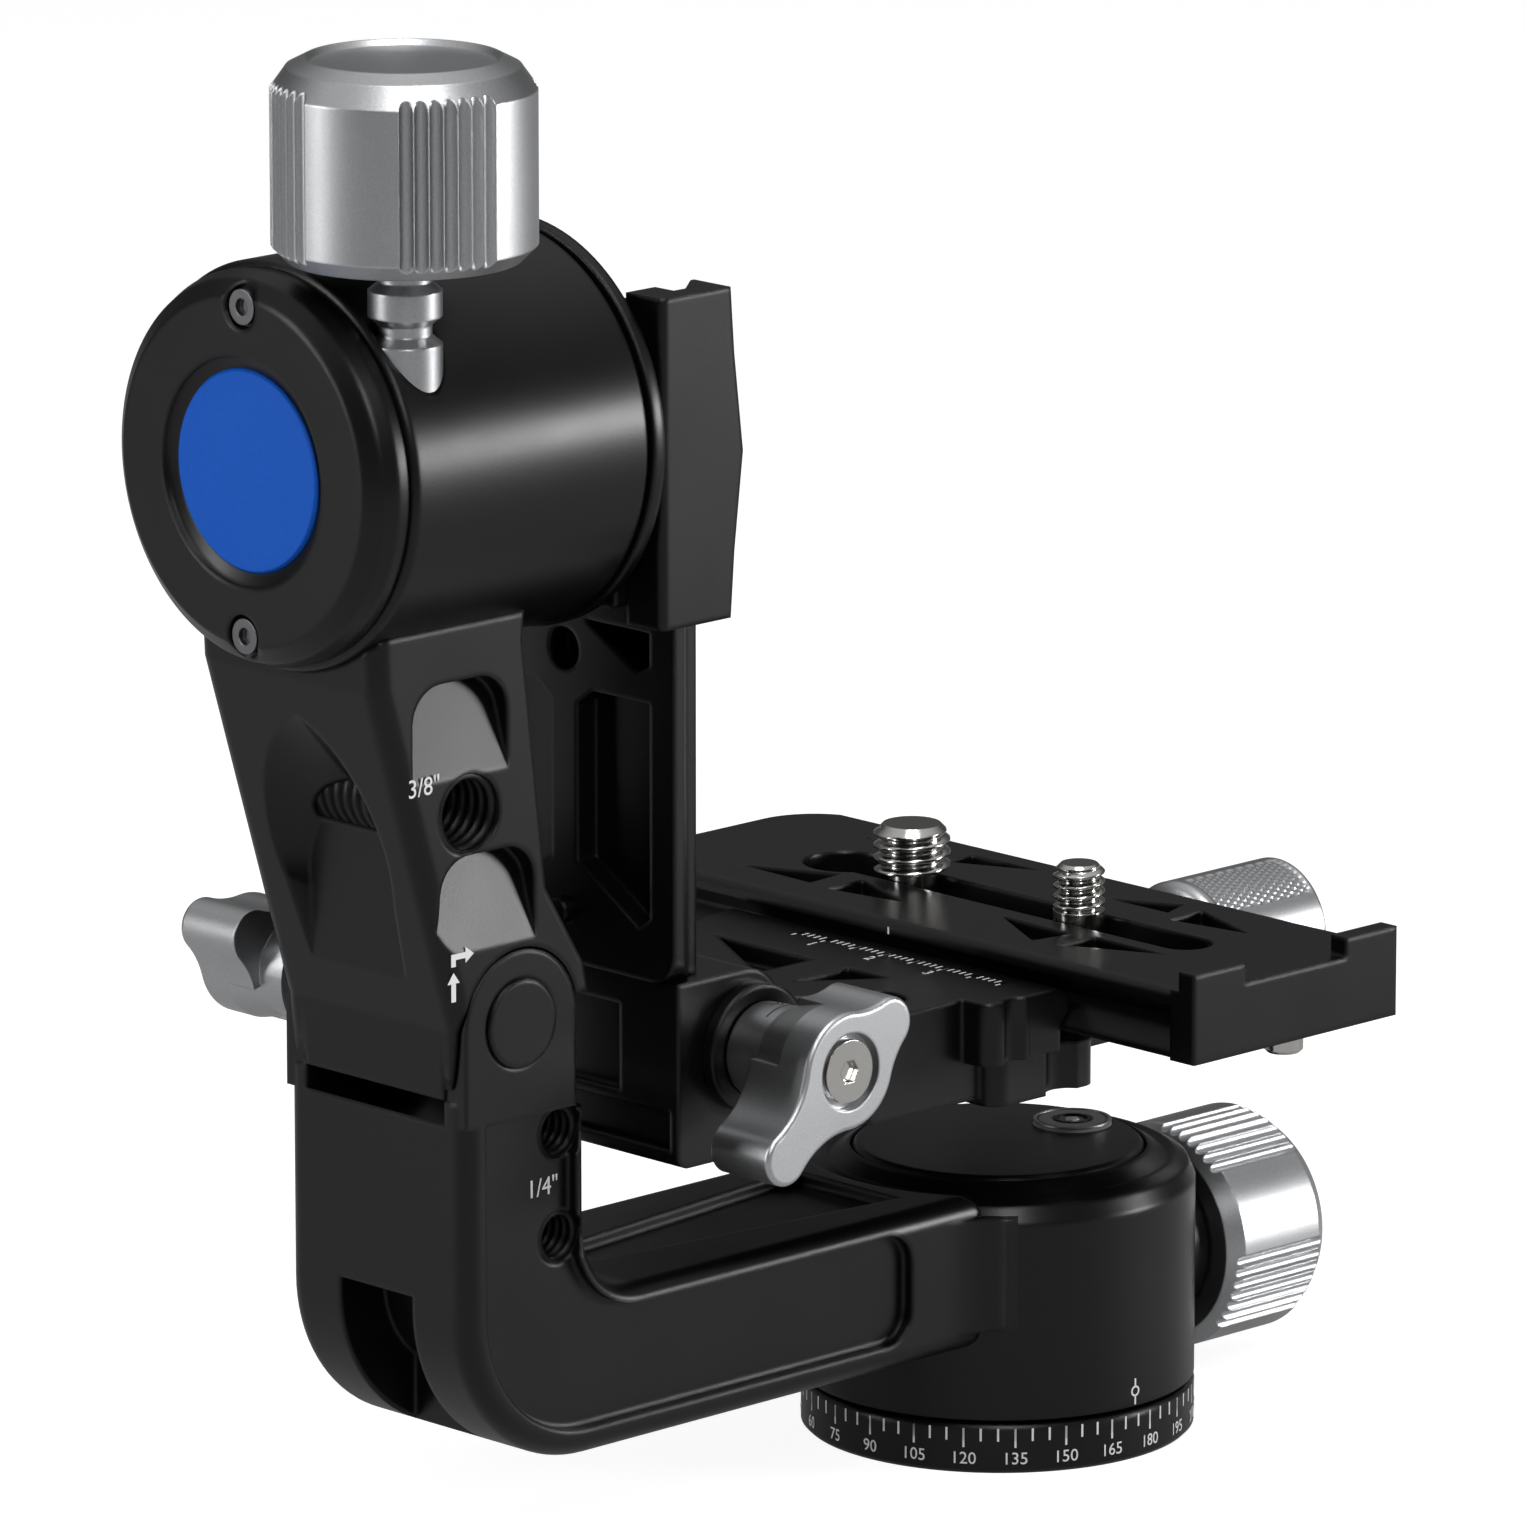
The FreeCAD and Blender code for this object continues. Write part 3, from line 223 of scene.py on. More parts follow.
@dataclass(frozen=True)
class Palette:
    """All the finishes of the head."""

    # Bead-blasted aluminium dyed black: near-black satin, broad soft highlights, bright thin edges.
    black: MetalFinish = MetalFinish("bead_blasted_black_anodised_aluminium", "070708", 0.3, metallic=0.0,
                                     bump_mm=0.018, edge_mm=0.9, gloss=0.28)
    # Bead-blasted aluminium in clear anodising: cool grey metal with a fine sparkle.
    silver: MetalFinish = MetalFinish("bead_blasted_clear_anodised_aluminium", "adaeb0", 0.36, bump_mm=0.03)
    # Turned stainless steel: bright, with fine marks round the axis.
    steel: MetalFinish = MetalFinish("turned_stainless_steel", "b4b3b0", 0.15, Grain.MACHINED, 0.2, 0.004,
                                     edge_mm=0.2)
    # Blackened steel of the socket screws: dark grey and a little duller than the cover.
    dark_steel: MetalFinish = MetalFinish("blackened_screw_steel", "6a6a6c", 0.35, grain_mm=0.2, edge_mm=0.2)
    # Blue dyed aluminium disc: even saturated blue under a satin surface.
    blue: MetalFinish = MetalFinish("blue_anodised_aluminium", "0b56bd", 0.5, metallic=0.0, gloss=0.15)
    # White marking ink: matt and slightly uneven.
    ink: PlainFinish = PlainFinish("white_marking_ink", "e4e4e2", 0.6)
    # Laser engraving: dark matt line in the clear anodising.
    groove: PlainFinish = PlainFinish("laser_engraved_line", "2b2b2e", 0.7)
    # Level fluid under its window, smooth and wet: its grey is painted reflection, a colour that stands for
    # how the fluid and window look in this light.
    fluid: PlainFinish = PlainFinish("level_fluid_under_acrylic", "8f928c", 0.3)

    def build(self) -> dict[str, bpy.types.Material]:
        """Make every material once.

        Returns:
            Materials by short name.
        """
        names = ("black", "silver", "steel", "dark_steel", "blue", "ink", "groove", "fluid")
        return {name: getattr(self, name).build() for name in names}


FINISH_OF_SLOT = {
    "black_anodised": "black",
    "silver_aluminium": "silver",
    "polished_steel": "steel",
    "blue_disc": "blue",
    "level_glass": "fluid",
}
FINISH_OF_NODE = {"cap_screws": "dark_steel"}


def new_piece(name: str, mesh: bpy.types.Mesh, material: bpy.types.Material, body: str) -> bpy.types.Object:
    """Put a finished mesh in the scene and fix it to its body.

    Args:
        name: Piece name.
        mesh: Mesh in the row frame, in metres.
        material: Its finish.
        body: The body that it rides on.

    Returns:
        The new object.
    """
    mesh.materials.clear()
    mesh.materials.append(material)
    piece = bpy.data.objects.new(name, mesh)
    bpy.context.scene.collection.objects.link(piece)
    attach(piece, body)
    LOG.info("piece %s rides on %s", name, body)
    return piece


def repeat_group(name: str, around: bool) -> bpy.types.GeometryNodeTree:
    """Node group that repeats a small block round a ring or along a row.

    Args:
        name: Group name.
        around: True for a ring about Z, False for a row along a vector.

    Returns:
        The node group.
    """
    group = bpy.data.node_groups.new(name, "GeometryNodeTree")
    face = group.interface
    face.new_socket("Count", in_out="INPUT", socket_type="NodeSocketInt")
    face.new_socket("Block", in_out="INPUT", socket_type="NodeSocketVector")
    face.new_socket("Start", in_out="INPUT", socket_type="NodeSocketVector")
    face.new_socket("Step", in_out="INPUT", socket_type="NodeSocketVector")
    face.new_socket("Finish", in_out="INPUT", socket_type="NodeSocketMaterial")
    face.new_socket("Geometry", in_out="OUTPUT", socket_type="NodeSocketGeometry")
    given = add_node(group, "NodeGroupInput")
    result = add_node(group, "NodeGroupOutput")
    points = add_node(group, "GeometryNodePoints")
    index = add_node(group, "GeometryNodeInputIndex")
    block = add_node(group, "GeometryNodeMeshCube")
    spread = add_node(group, "ShaderNodeVectorMath", operation="MULTIPLY_ADD")
    place = add_node(group, "GeometryNodeSetPosition")
    copies = add_node(group, "GeometryNodeInstanceOnPoints")
    real = add_node(group, "GeometryNodeRealizeInstances")
    paint = add_node(group, "GeometryNodeSetMaterial")
    links = group.links
    links.new(given.outputs["Count"], points.inputs["Count"])
    links.new(given.outputs["Block"], block.inputs["Size"])
    links.new(index.outputs[0], spread.inputs[0])
    links.new(given.outputs["Step"], spread.inputs[1])
    if around:
        turn = add_node(group, "ShaderNodeVectorRotate", rotation_type="EULER_XYZ")
        links.new(given.outputs["Start"], turn.inputs["Vector"])
        links.new(spread.outputs[0], turn.inputs["Rotation"])
        links.new(turn.outputs[0], place.inputs["Position"])
        links.new(spread.outputs[0], copies.inputs["Rotation"])
    else:
        links.new(given.outputs["Start"], spread.inputs[2])
        links.new(spread.outputs[0], place.inputs["Position"])
    links.new(points.outputs[0], place.inputs["Geometry"])
    links.new(place.outputs[0], copies.inputs["Points"])
    links.new(block.outputs["Mesh"], copies.inputs["Instance"])
    links.new(copies.outputs[0], real.inputs[0])
    links.new(real.outputs[0], paint.inputs["Geometry"])
    links.new(given.outputs["Finish"], paint.inputs["Material"])
    links.new(paint.outputs[0], result.inputs["Geometry"])
    return group


def repeated_mesh(group: bpy.types.GeometryNodeTree, values: dict[str, object]) -> bpy.types.Mesh:
    """Run a repeat group on an empty mesh and keep only the mesh that it makes.

    Args:
        group: The node group.
        values: Inputs by their names.

    Returns:
        The realised mesh.
    """
    host = bpy.data.objects.new("repeat_host", bpy.data.meshes.new("repeat_host"))
    bpy.context.scene.collection.objects.link(host)
    modifier = host.modifiers.new("repeat", "NODES")
    modifier.node_group = group
    for item in group.interface.items_tree:
        if item.in_out == "INPUT" and item.name in values:
            modifier[item.identifier] = values[item.name]
    host.update_tag()
    graph = bpy.context.evaluated_depsgraph_get()
    mesh = bpy.data.meshes.new_from_object(host.evaluated_get(graph))
    host.modifiers.clear()
    bpy.data.objects.remove(host, do_unlink=True)
    return mesh


def text_mesh(lines: list[tuple[str, Matrix]], size: float) -> bpy.types.Mesh:
    """Join flat words, each placed by its matrix, into one mesh.

    Args:
        lines: Pairs of a word and its place.
        size: Letter size in metres.

    Returns:
        One mesh in the row frame.
    """
    joined = bmesh.new()
    for words, place in lines:
        curve = bpy.data.curves.new("words", "FONT")
        curve.body = words
        curve.size = size
        curve.align_x = "CENTER"
        curve.align_y = "CENTER"
        curve.resolution_u = 3
        curve.extrude = 0.02 * MM
        holder = bpy.data.objects.new("words", curve)
        bpy.context.scene.collection.objects.link(holder)
        graph = bpy.context.evaluated_depsgraph_get()
        mesh = bpy.data.meshes.new_from_object(holder.evaluated_get(graph))
        mesh.transform(place)
        joined.from_mesh(mesh)
        bpy.data.objects.remove(holder, do_unlink=True)
        bpy.data.meshes.remove(mesh)
    return plain_mesh("words", joined)


def axes_matrix(across: Vector, up: Vector, at: Vector) -> Matrix:
    """Matrix whose X runs across and Y up a face.

    Args:
        across: Direction of the lines.
        up: Direction of the letters' height.
        at: Origin on the face.

    Returns:
        A 4 by 4 matrix.
    """
    out = across.cross(up)
    matrix = Matrix((across, up, out)).transposed().to_4x4()
    matrix.translation = at
    return matrix


def plain_mesh(name: str, shape: bmesh.types.BMesh) -> bpy.types.Mesh:
    """Turn a bmesh into a mesh and free the bmesh.

    Args:
        name: Mesh name.
        shape: The bmesh.

    Returns:
        The mesh.
    """
    mesh = bpy.data.meshes.new(name)
    shape.to_mesh(mesh)
    shape.free()
    return mesh


def circle(shape: bmesh.types.BMesh, radius: float, height: float, sides: int) -> list[bmesh.types.BMVert]:
    """Add a ring of points about Z.

    Args:
        shape: The bmesh that gets it.
        radius: Ring radius.
        height: Ring height.
        sides: Number of points.

    Returns:
        The ring's points.
    """
    turns = [2 * math.pi * side / sides for side in range(sides)]
    return [shape.verts.new((radius * math.cos(t), radius * math.sin(t), height)) for t in turns]


def bridge(shape: bmesh.types.BMesh, rings: list[list[bmesh.types.BMVert]]) -> None:
    """Join each ring to the next one with four-sided faces.

    Args:
        shape: The bmesh that holds the rings.
        rings: Rings with the same number of points.
    """
    for lower, upper in zip(rings, rings[1:]):
        count = len(lower)
        for i in range(count):
            j = (i + 1) % count
            shape.faces.new((lower[i], lower[j], upper[j], upper[i]))


def thread_mesh(radius: float, pitch: float, depth: float, low: float, high: float,
                inward: bool = False) -> bpy.types.Mesh:
    """Helical thread about Z as one closed shape.

    Args:
        radius: Outer radius of the thread.
        pitch: Rise for each turn.
        depth: Depth of the thread.
        low: Lowest height.
        high: Highest height.
        inward: True for the thread of a hole, which gets a plain outer wall.

    Returns:
        The thread's mesh; a stud's thread ends in a chamfer.
    """
    sides = 48
    rows_per_turn = 10
    rows = max(8, int((high - low) / pitch * rows_per_turn))
    shape = bmesh.new()
    rings = []
    for row in range(rows + 1):
        height = low + (high - low) * row / rows
        limit = radius if inward else radius - max(0.0, height - (high - depth * THREAD_CHAMFER))
        ring = []
        for side in range(sides):
            angle = 2 * math.pi * side / sides
            phase = (height / pitch - side / sides) % 1.0
            wave = min(1.0, max(0.0, 1.6 * abs(2 * phase - 1) - 0.3))
            reach = min(limit, radius - depth * (1 - wave))
            ring.append(shape.verts.new((reach * math.cos(angle), reach * math.sin(angle), height)))
        rings.append(ring)
    if inward:
        rings += [circle(shape, radius + THREAD_WALL, height, sides) for height in (high, low)]
        rings.append(rings[0])
    else:
        shape.faces.new(rings[-1])
        shape.faces.new(list(reversed(rings[0])))
    bridge(shape, rings)
    bmesh.ops.recalc_face_normals(shape, faces=shape.faces)
    return smooth_mesh("thread", shape, 35)


def smooth_mesh(name: str, shape: bmesh.types.BMesh, sharp_deg: float) -> bpy.types.Mesh:
    """Turn a bmesh into a mesh that is smooth except at its sharp edges.

    Args:
        name: Mesh name.
        shape: The bmesh, which is freed.
        sharp_deg: Least angle of an edge that stays sharp.

    Returns:
        The mesh.
    """
    mesh = plain_mesh(name, shape)
    mesh.shade_smooth()
    mesh.set_sharp_from_angle(angle=math.radians(sharp_deg))
    return mesh


def turned_mesh(outline: list[tuple[float, float]], hollow: bool = False, sides: int = 64) -> bpy.types.Mesh:
    """Solid of revolution about Z.

    Args:
        outline: Radius and height pairs from the bottom to the top.
        hollow: True for a ring, whose outline closes on itself.
        sides: Number of sides.

    Returns:
        The turned mesh.
    """
    shape = bmesh.new()
    rings = [circle(shape, radius, height, sides) for radius, height in outline]
    if hollow:
        rings.append(rings[0])
    bridge(shape, rings)
    if not hollow:
        shape.faces.new(list(reversed(rings[0])))
        shape.faces.new(rings[-1])
    bmesh.ops.recalc_face_normals(shape, faces=shape.faces)
    return smooth_mesh("turned", shape, 40)


@dataclass
class DialMarks:
    """Degree ticks and numerals round the base dial, and the index line above them."""

    zero_deg: float = -265.1
    small_step: int = 5
    large_step: int = 15
    short: float = 1.6 * MM
    long: float = 2.4 * MM
    width: float = 0.26 * MM
    proud: float = 0.03 * MM
    letter: float = 2.15 * MM
    index_deg: float = -91.5
    top: float = 6.0 * MM
    numeral_z: float = 1.9 * MM
    index_z: float = 8.6 * MM
    index_ring: tuple[float, float] = (0.45 * MM, 0.7 * MM)
    index_ring_up: float = 0.1 * MM
    index_lines: tuple = ((-1.6 * MM, -0.5 * MM), (0.7 * MM, 1.7 * MM))

    def build(self, paints: dict[str, bpy.types.Material]) -> None:
        """Make the marks.

        Args:
            paints: Materials by short name.
        """
        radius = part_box("base_dial")[1][0]
        ring = repeat_group("ring_of_ticks", True)
        for name, step, tall in (("dial_ticks_small", self.small_step, self.short),
                                 ("dial_ticks_large", self.large_step, self.long)):
            values = {"Count": 360 // step, "Block": (self.proud * 2, self.width, tall),
                      "Start": (radius, 0.0, self.top - tall / 2 - self.width),
                      "Step": (0.0, 0.0, math.radians(step)), "Finish": paints["ink"]}
            mesh = repeated_mesh(ring, values)
            mesh.transform(Matrix.Rotation(math.radians(self.zero_deg), 4, "Z"))
            new_piece(name, mesh, paints["ink"], "base")
        words = []
        for value in range(0, 360, self.large_step):
            angle = math.radians(value + self.zero_deg)
            out = Vector((math.cos(angle), math.sin(angle), 0))
            across = Vector((-math.sin(angle), math.cos(angle), 0))
            at = out * (radius + self.proud) + Vector((0, 0, self.numeral_z))
            words.append((str(value), axes_matrix(across, Vector((0, 0, 1)), at)))
        new_piece("dial_numerals", text_mesh(words, self.letter), paints["ink"], "base")
        self.index(paints, radius)

    def index(self, paints: dict[str, bpy.types.Material], radius: float) -> None:
        """Make the index line with its ring on the housing.

        Args:
            paints: Materials by short name.
            radius: Radius of the housing.
        """
        angle = math.radians(self.index_deg)
        out = Vector((math.cos(angle), math.sin(angle), 0))
        across = Vector((-math.sin(angle), math.cos(angle), 0))
        place = axes_matrix(across, Vector((0, 0, 1)), out * radius + Vector((0, 0, self.index_z)))
        shape = bmesh.new()
        sides = 20
        rings = [circle(shape, r, self.proud, sides) for r in self.index_ring]
        bmesh.ops.translate(shape, verts=shape.verts, vec=(0, self.index_ring_up, 0))
        for k in range(sides):
            j = (k + 1) % sides
            shape.faces.new((rings[0][k], rings[1][k], rings[1][j], rings[0][j]))
        w = self.width / 2
        for low, high in self.index_lines:
            line = [(-w, low), (w, low), (w, high), (-w, high)]
            shape.faces.new([shape.verts.new((x, y, self.proud)) for x, y in line])
        mesh = plain_mesh("index", shape)
        mesh.transform(place)
        new_piece("dial_index", mesh, paints["ink"], "pan")


@dataclass
class ClampScale:
    """Millimetre scale on the deck beside the plate."""

    count: int = 36
    first_y: float = 13.5 * MM
    inner_x: float = -20.4 * MM
    width: float = 0.24 * MM
    short: float = 1.2 * MM
    long: float = 2.0 * MM
    letter: float = 2.3 * MM
    proud: float = 0.03 * MM
    number_gap: float = 1.5 * MM
    mark_y: float = 1.6 * MM
    mark_z: float = 65.0 * MM
    mark_height: float = 0.9 * MM

    def build(self, paints: dict[str, bpy.types.Material]) -> None:
        """Make the ticks and numbers, and the index line on the plate's edge.

        Args:
            paints: Materials by short name.
        """
        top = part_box("platform")[1][2]
        row = repeat_group("row_of_ticks", False)
        for name, every, tall in (("clamp_scale_ticks", 1, self.short),
                                  ("clamp_scale_fives", 5, self.long)):
            values = {"Count": (self.count - 1) // every + 1, "Block": (tall, self.width, self.proud * 2),
                      "Start": (self.inner_x - tall / 2, self.first_y, top), "Step": (0.0, -every * MM, 0.0),
                      "Finish": paints["ink"]}
            new_piece(name, repeated_mesh(row, values), paints["ink"], "platform")
        words = []
        for number in (1, 2, 3):
            x = self.inner_x - self.long - self.number_gap
            at = Vector((x, self.first_y + (5 - 10 * number) * MM, top + self.proud))
            words.append((str(number), axes_matrix(Vector((0, -1, 0)), Vector((1, 0, 0)), at)))
        self.plate_index(paints)
        new_piece("clamp_scale_numbers", text_mesh(words, self.letter), paints["ink"], "platform")

    def plate_index(self, paints: dict[str, bpy.types.Material]) -> None:
        """Make the index line on the plate's edge.

        Args:
            paints: Materials by short name.
        """
        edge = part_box("lens_plate")[0][0]
        shape = bmesh.new()
        size = Vector((self.width, self.width, self.mark_height))
        bmesh.ops.create_cube(shape, size=1.0)
        bmesh.ops.scale(shape, vec=size, verts=shape.verts)
        mesh = plain_mesh("plate_index", shape)
        mesh.transform(Matrix.Translation((edge + self.width / 2 - self.proud, self.mark_y, self.mark_z)))
        new_piece("plate_index", mesh, paints["ink"], "plate")


@dataclass
class CameraStud:
    """Threaded camera screw that stands for a plain CAD stud.

    Args:
        node: CAD node that it stands for.
        body: Body that it rides on.
        y: Place along the plate.
        radius: Outer thread radius.
        pitch: Thread pitch.
    """

    node: str
    body: str
    y: float
    radius: float
    pitch: float
    head_radius: float = 5.55 * MM
    head_edge: float = 0.3 * MM
    head_height: float = 2.4 * MM
    neck_radius: float = 3.2 * MM
    thread_length: float = 5.8 * MM
    thread_depth: float = 0.52

    def build(self, paints: dict[str, bpy.types.Material]) -> None:
        """Make the head, shank and thread in one piece.

        Args:
            paints: Materials by short name.
        """
        low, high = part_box(self.node)
        neck = min(self.radius, self.neck_radius)
        thread_low = high[2] - self.thread_length
        r, edge, head = self.head_radius, self.head_edge, self.head_height
        outline = [(r - edge, low[2]), (r, low[2] + edge), (r, low[2] + head - edge),
                   (neck, low[2] + head), (neck, thread_low)]
        shape = bmesh.new()
        shape.from_mesh(turned_mesh(outline))
        depth = self.pitch * self.thread_depth
        shape.from_mesh(thread_mesh(self.radius, self.pitch, depth, thread_low, high[2]))
        mesh = plain_mesh(self.node + "_threaded", shape)
        mesh.transform(Matrix.Translation((0, self.y, 0)))
        mesh.set_sharp_from_angle(angle=math.radians(35))
        piece = new_piece(self.node + "_threaded", mesh, paints["steel"], self.body)
        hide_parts(self.node)


@dataclass(frozen=True)
class TappedHole:
    """One tapped hole of the side arm, in millimetres.

    Args:
        body: Body that the hole is in.
        x: Place across the arm.
        z: Height.
        radius: Outer thread radius.
        pitch: Thread pitch.
        start: How far behind the front face the thread starts.
        length: Length of the thread.
    """

    body: str
    x: float
    z: float
    radius: float
    pitch: float
    start: float
    length: float


@dataclass
class ArmThreads:
    """Thread turns inside the tapped holes of the side arm's front face."""

    front_y: float = -15.5 * MM
    depth: float = 0.5
    holes: tuple[TappedHole, ...] = (
        TappedHole("upright", -103.0, 96.9, 4.74, 1.5875, 0.4, 30.6),
        TappedHole("pan", -87.6, 42.9, 3.15, 1.27, 1.8, 6.8),
        TappedHole("pan", -87.6, 55.7, 3.15, 1.27, 1.8, 6.8))

    def build(self, paints: dict[str, bpy.types.Material]) -> None:
        """Make one thread for each hole.

        Args:
            paints: Materials by short name.
        """
        for number, hole in enumerate(self.holes):
            mesh = thread_mesh(hole.radius * MM, hole.pitch * MM, hole.pitch * self.depth * MM, 0.0,
                               hole.length * MM, inward=True)
            mesh.transform(Matrix.Rotation(math.radians(-90), 4, "X"))
            place = (hole.x * MM, self.front_y + hole.start * MM, hole.z * MM)
            mesh.transform(Matrix.Translation(place))
            new_piece(f"arm_thread_{number}", mesh, paints["black"], hole.body)


@dataclass
class ArmMarks:
    """Thread sizes and the two fold arrows on the side arm's front face."""

    front_y: float = -15.54 * MM
    panel_y: float = -13.94 * MM
    letter: float = 3.1 * MM
    arrows_x: float = -105.7
    arrows_z: float = 74.9
    arrow_thickness: float = 0.04 * MM

    def build(self, paints: dict[str, bpy.types.Material]) -> None:
        """Make the words and the arrows.

        Args:
            paints: Materials by short name.
        """
        across, up = Vector((1, 0, 0)), Vector((0, 0, 1))
        places = (("arm_label_large", '3/8"', -110.2, 101.2, self.front_y, "upright"),
                  ("arm_label_small", '1/4"', -90.2, 49.4, self.panel_y, "pan"))
        for name, words, x, z, y, body in places:
            at = Vector((x * MM, y, z * MM))
            mesh = text_mesh([(words, axes_matrix(across, up, at))], self.letter)
            new_piece(name, mesh, paints["ink"], body)
        shape = bmesh.new()
        rising = [(-0.35, 0), (0.35, 0), (0.35, 2.2), (0.95, 2.2), (0, 3.5), (-0.95, 2.2), (-0.35, 2.2)]
        turning = [(-0.35, 4.2), (0.35, 4.2), (0.35, 5.0), (1.9, 5.0), (1.9, 4.4), (3.2, 5.35), (1.9, 6.3),
                   (1.9, 5.7), (-0.35, 5.7)]
        for outline in (rising, turning):
            corners = [shape.verts.new(((x + self.arrows_x) * MM, self.front_y, (z + self.arrows_z) * MM))
                       for x, z in outline]
            face = shape.faces.new(corners)
            thick = bmesh.ops.extrude_face_region(shape, geom=[face])
            moved = [v for v in thick["geom"] if isinstance(v, bmesh.types.BMVert)]
            bmesh.ops.translate(shape, verts=moved, vec=(0, self.arrow_thickness, 0))
        bmesh.ops.recalc_face_normals(shape, faces=shape.faces)
        mesh = plain_mesh("arm_arrows", shape)
        new_piece("arm_arrows", mesh, paints["ink"], "upright")


@dataclass
class LeverMarks:
    """Engraved arc and chevrons round the neck of a locking lever.

    Args:
        name: Piece name.
        body: Body that it rides on.
        centre: Lever axis at the seat side of the hub.
        facing: -1 for a lever on the -Y side, 1 for +Y.
    """

    name: str
    body: str
    centre: tuple[float, float, float]
    facing: int
    neck: float = 5.8 * MM
    cone: float = 0.3 / 5.4
    line: float = 0.26 * MM
    proud: float = 0.02 * MM

    def point(self, along: float, turn_deg: float, lift: float) -> tuple[float, float, float]:
        """Point on the hub at a distance along the axis and an angle round it."""
        angle = math.radians(turn_deg)
        r = self.neck + self.cone * along + lift
        x, y, z = self.centre
        return (x - self.facing * r * math.cos(angle), y + self.facing * along, z + r * math.sin(angle))

    def build(self, paints: dict[str, bpy.types.Material]) -> None:
        """Make the ribbons of the marks.

        Args:
            paints: Materials by short name.
        """
        arc = [(3.9, 72 + 6 * k) for k in range(9)]
        lines = [arc, [(1.2, 76), (2.4, 86), (1.2, 96)], [(2.0, 76), (3.2, 86), (2.0, 96)]]
        shape = bmesh.new()
        for line in lines:
            for (a0, t0), (a1, t1) in zip(line, line[1:]):
                self.ribbon(shape, (a0 * MM, t0), (a1 * MM, t1))
        bmesh.ops.recalc_face_normals(shape, faces=shape.faces)
        mesh = plain_mesh(self.name, shape)
        new_piece(self.name, mesh, paints["groove"], self.body)

    def ribbon(self, shape: bmesh.types.BMesh, start: tuple[float, float], end: tuple[float, float]) -> None:
        """Add one thin closed strip between two points on the hub.

        Args:
            shape: The bmesh that gets it.
            start: Distance along the axis and angle of one end.
            end: The same for the other end.
        """
        reach = Vector((end[0] - start[0], math.radians(end[1] - start[1]) * self.neck))
        side = Vector((-reach.y, reach.x)).normalized() * self.line / 2
        turn = math.degrees(side.y / self.neck)
        corners = [(start, -1), (end, -1), (end, 1), (start, 1)]
        rings = []
        for lift in (-self.proud, self.proud):
            rings.append([shape.verts.new(self.point(p[0] + s * side.x, p[1] + s * turn, lift))
                          for p, s in corners])
        shape.faces.new(rings[0])
        shape.faces.new(list(reversed(rings[1])))
        for k in range(4):
            j = (k + 1) % 4
            shape.faces.new((rings[0][k], rings[0][j], rings[1][j], rings[1][k]))


@dataclass
class KnurledKnob:
    """Slim knob with diamond knurl between smooth bands, which stands for its plain CAD solid."""

    node: str = "qr_knob"
    body: str = "jaw_lock"
    axis_z: float = 54.4 * MM
    radius: float = 8.5 * MM
    length: float = 20.0 * MM
    neck_r: float = 5.0 * MM
    screw_r: float = 1.6 * MM
    neck_length: float = 7.4 * MM
    screw_length: float = 5.0 * MM
    bands: int = 4
    diamonds: int = 60
    pitch: float = 0.9 * MM
    depth: float = 0.38 * MM

    def build(self, paints: dict[str, bpy.types.Material]) -> None:
        """Make the screw, neck and knurled head in one closed shape along X.

        Args:
            paints: Materials by short name.
        """
        sides, rows = 240, 72
        x0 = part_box(self.node)[0][0]
        neck_x = x0 + self.screw_length
        head_x = neck_x + self.neck_length
        end_x = head_x + self.length
        r = self.radius
        plain = [(x0, self.screw_r), (neck_x, self.screw_r), (neck_x, self.neck_r), (head_x, self.neck_r),
                 (head_x, r - 1.0 * MM)]
        inner = [(head_x + 0.9 * MM + (self.length - 2.2 * MM) * k / rows, r) for k in range(rows + 1)]
        finish = [(end_x - 0.5 * MM, r - 0.9 * MM), (end_x, r * 0.78), (end_x, r * 0.74),
                  (end_x - 0.4 * MM, r * 0.7)]
        shape = bmesh.new()
        rings = []
        for x, reach in plain + inner + finish:
            knurled = reach == r and head_x + 2 * MM < x < end_x - 2 * MM
            rings.append(self.ring(shape, x, reach, sides, knurled))
        bridge(shape, rings)
        shape.faces.new(rings[-1])
        shape.faces.new(list(reversed(rings[0])))
        bmesh.ops.recalc_face_normals(shape, faces=shape.faces)
        mesh = smooth_mesh("qr_knob_knurled", shape, 50)
        piece = new_piece("qr_knob_knurled", mesh, paints["silver"], self.body)
        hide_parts(self.node)

    def ring(self, shape: bmesh.types.BMesh, x: float, reach: float, sides: int, knurled: bool) -> list:
        """One ring of the knob, with diamonds cut in its knurled bands.

        Args:
            shape: The bmesh that gets it.
            x: Place along the axis.
            reach: Radius before the knurl.
            sides: Number of points.
            knurled: True where the ring has knurl.

        Returns:
            The ring's vertices.
        """
        ring = []
        for side in range(sides):
            share = side / sides
            r = reach
            if knurled and (share * self.bands) % 1.0 < 0.56:
                along = x / (self.pitch * 2)
                across = share * self.diamonds
                one = abs(((along + across) % 1.0) * 2 - 1)
                two = abs(((along - across) % 1.0) * 2 - 1)
                r = reach - self.depth * (1 - min(one, two))
            angle = 2 * math.pi * share
            ring.append(shape.verts.new((x, r * math.cos(angle), self.axis_z + r * math.sin(angle))))
        return ring


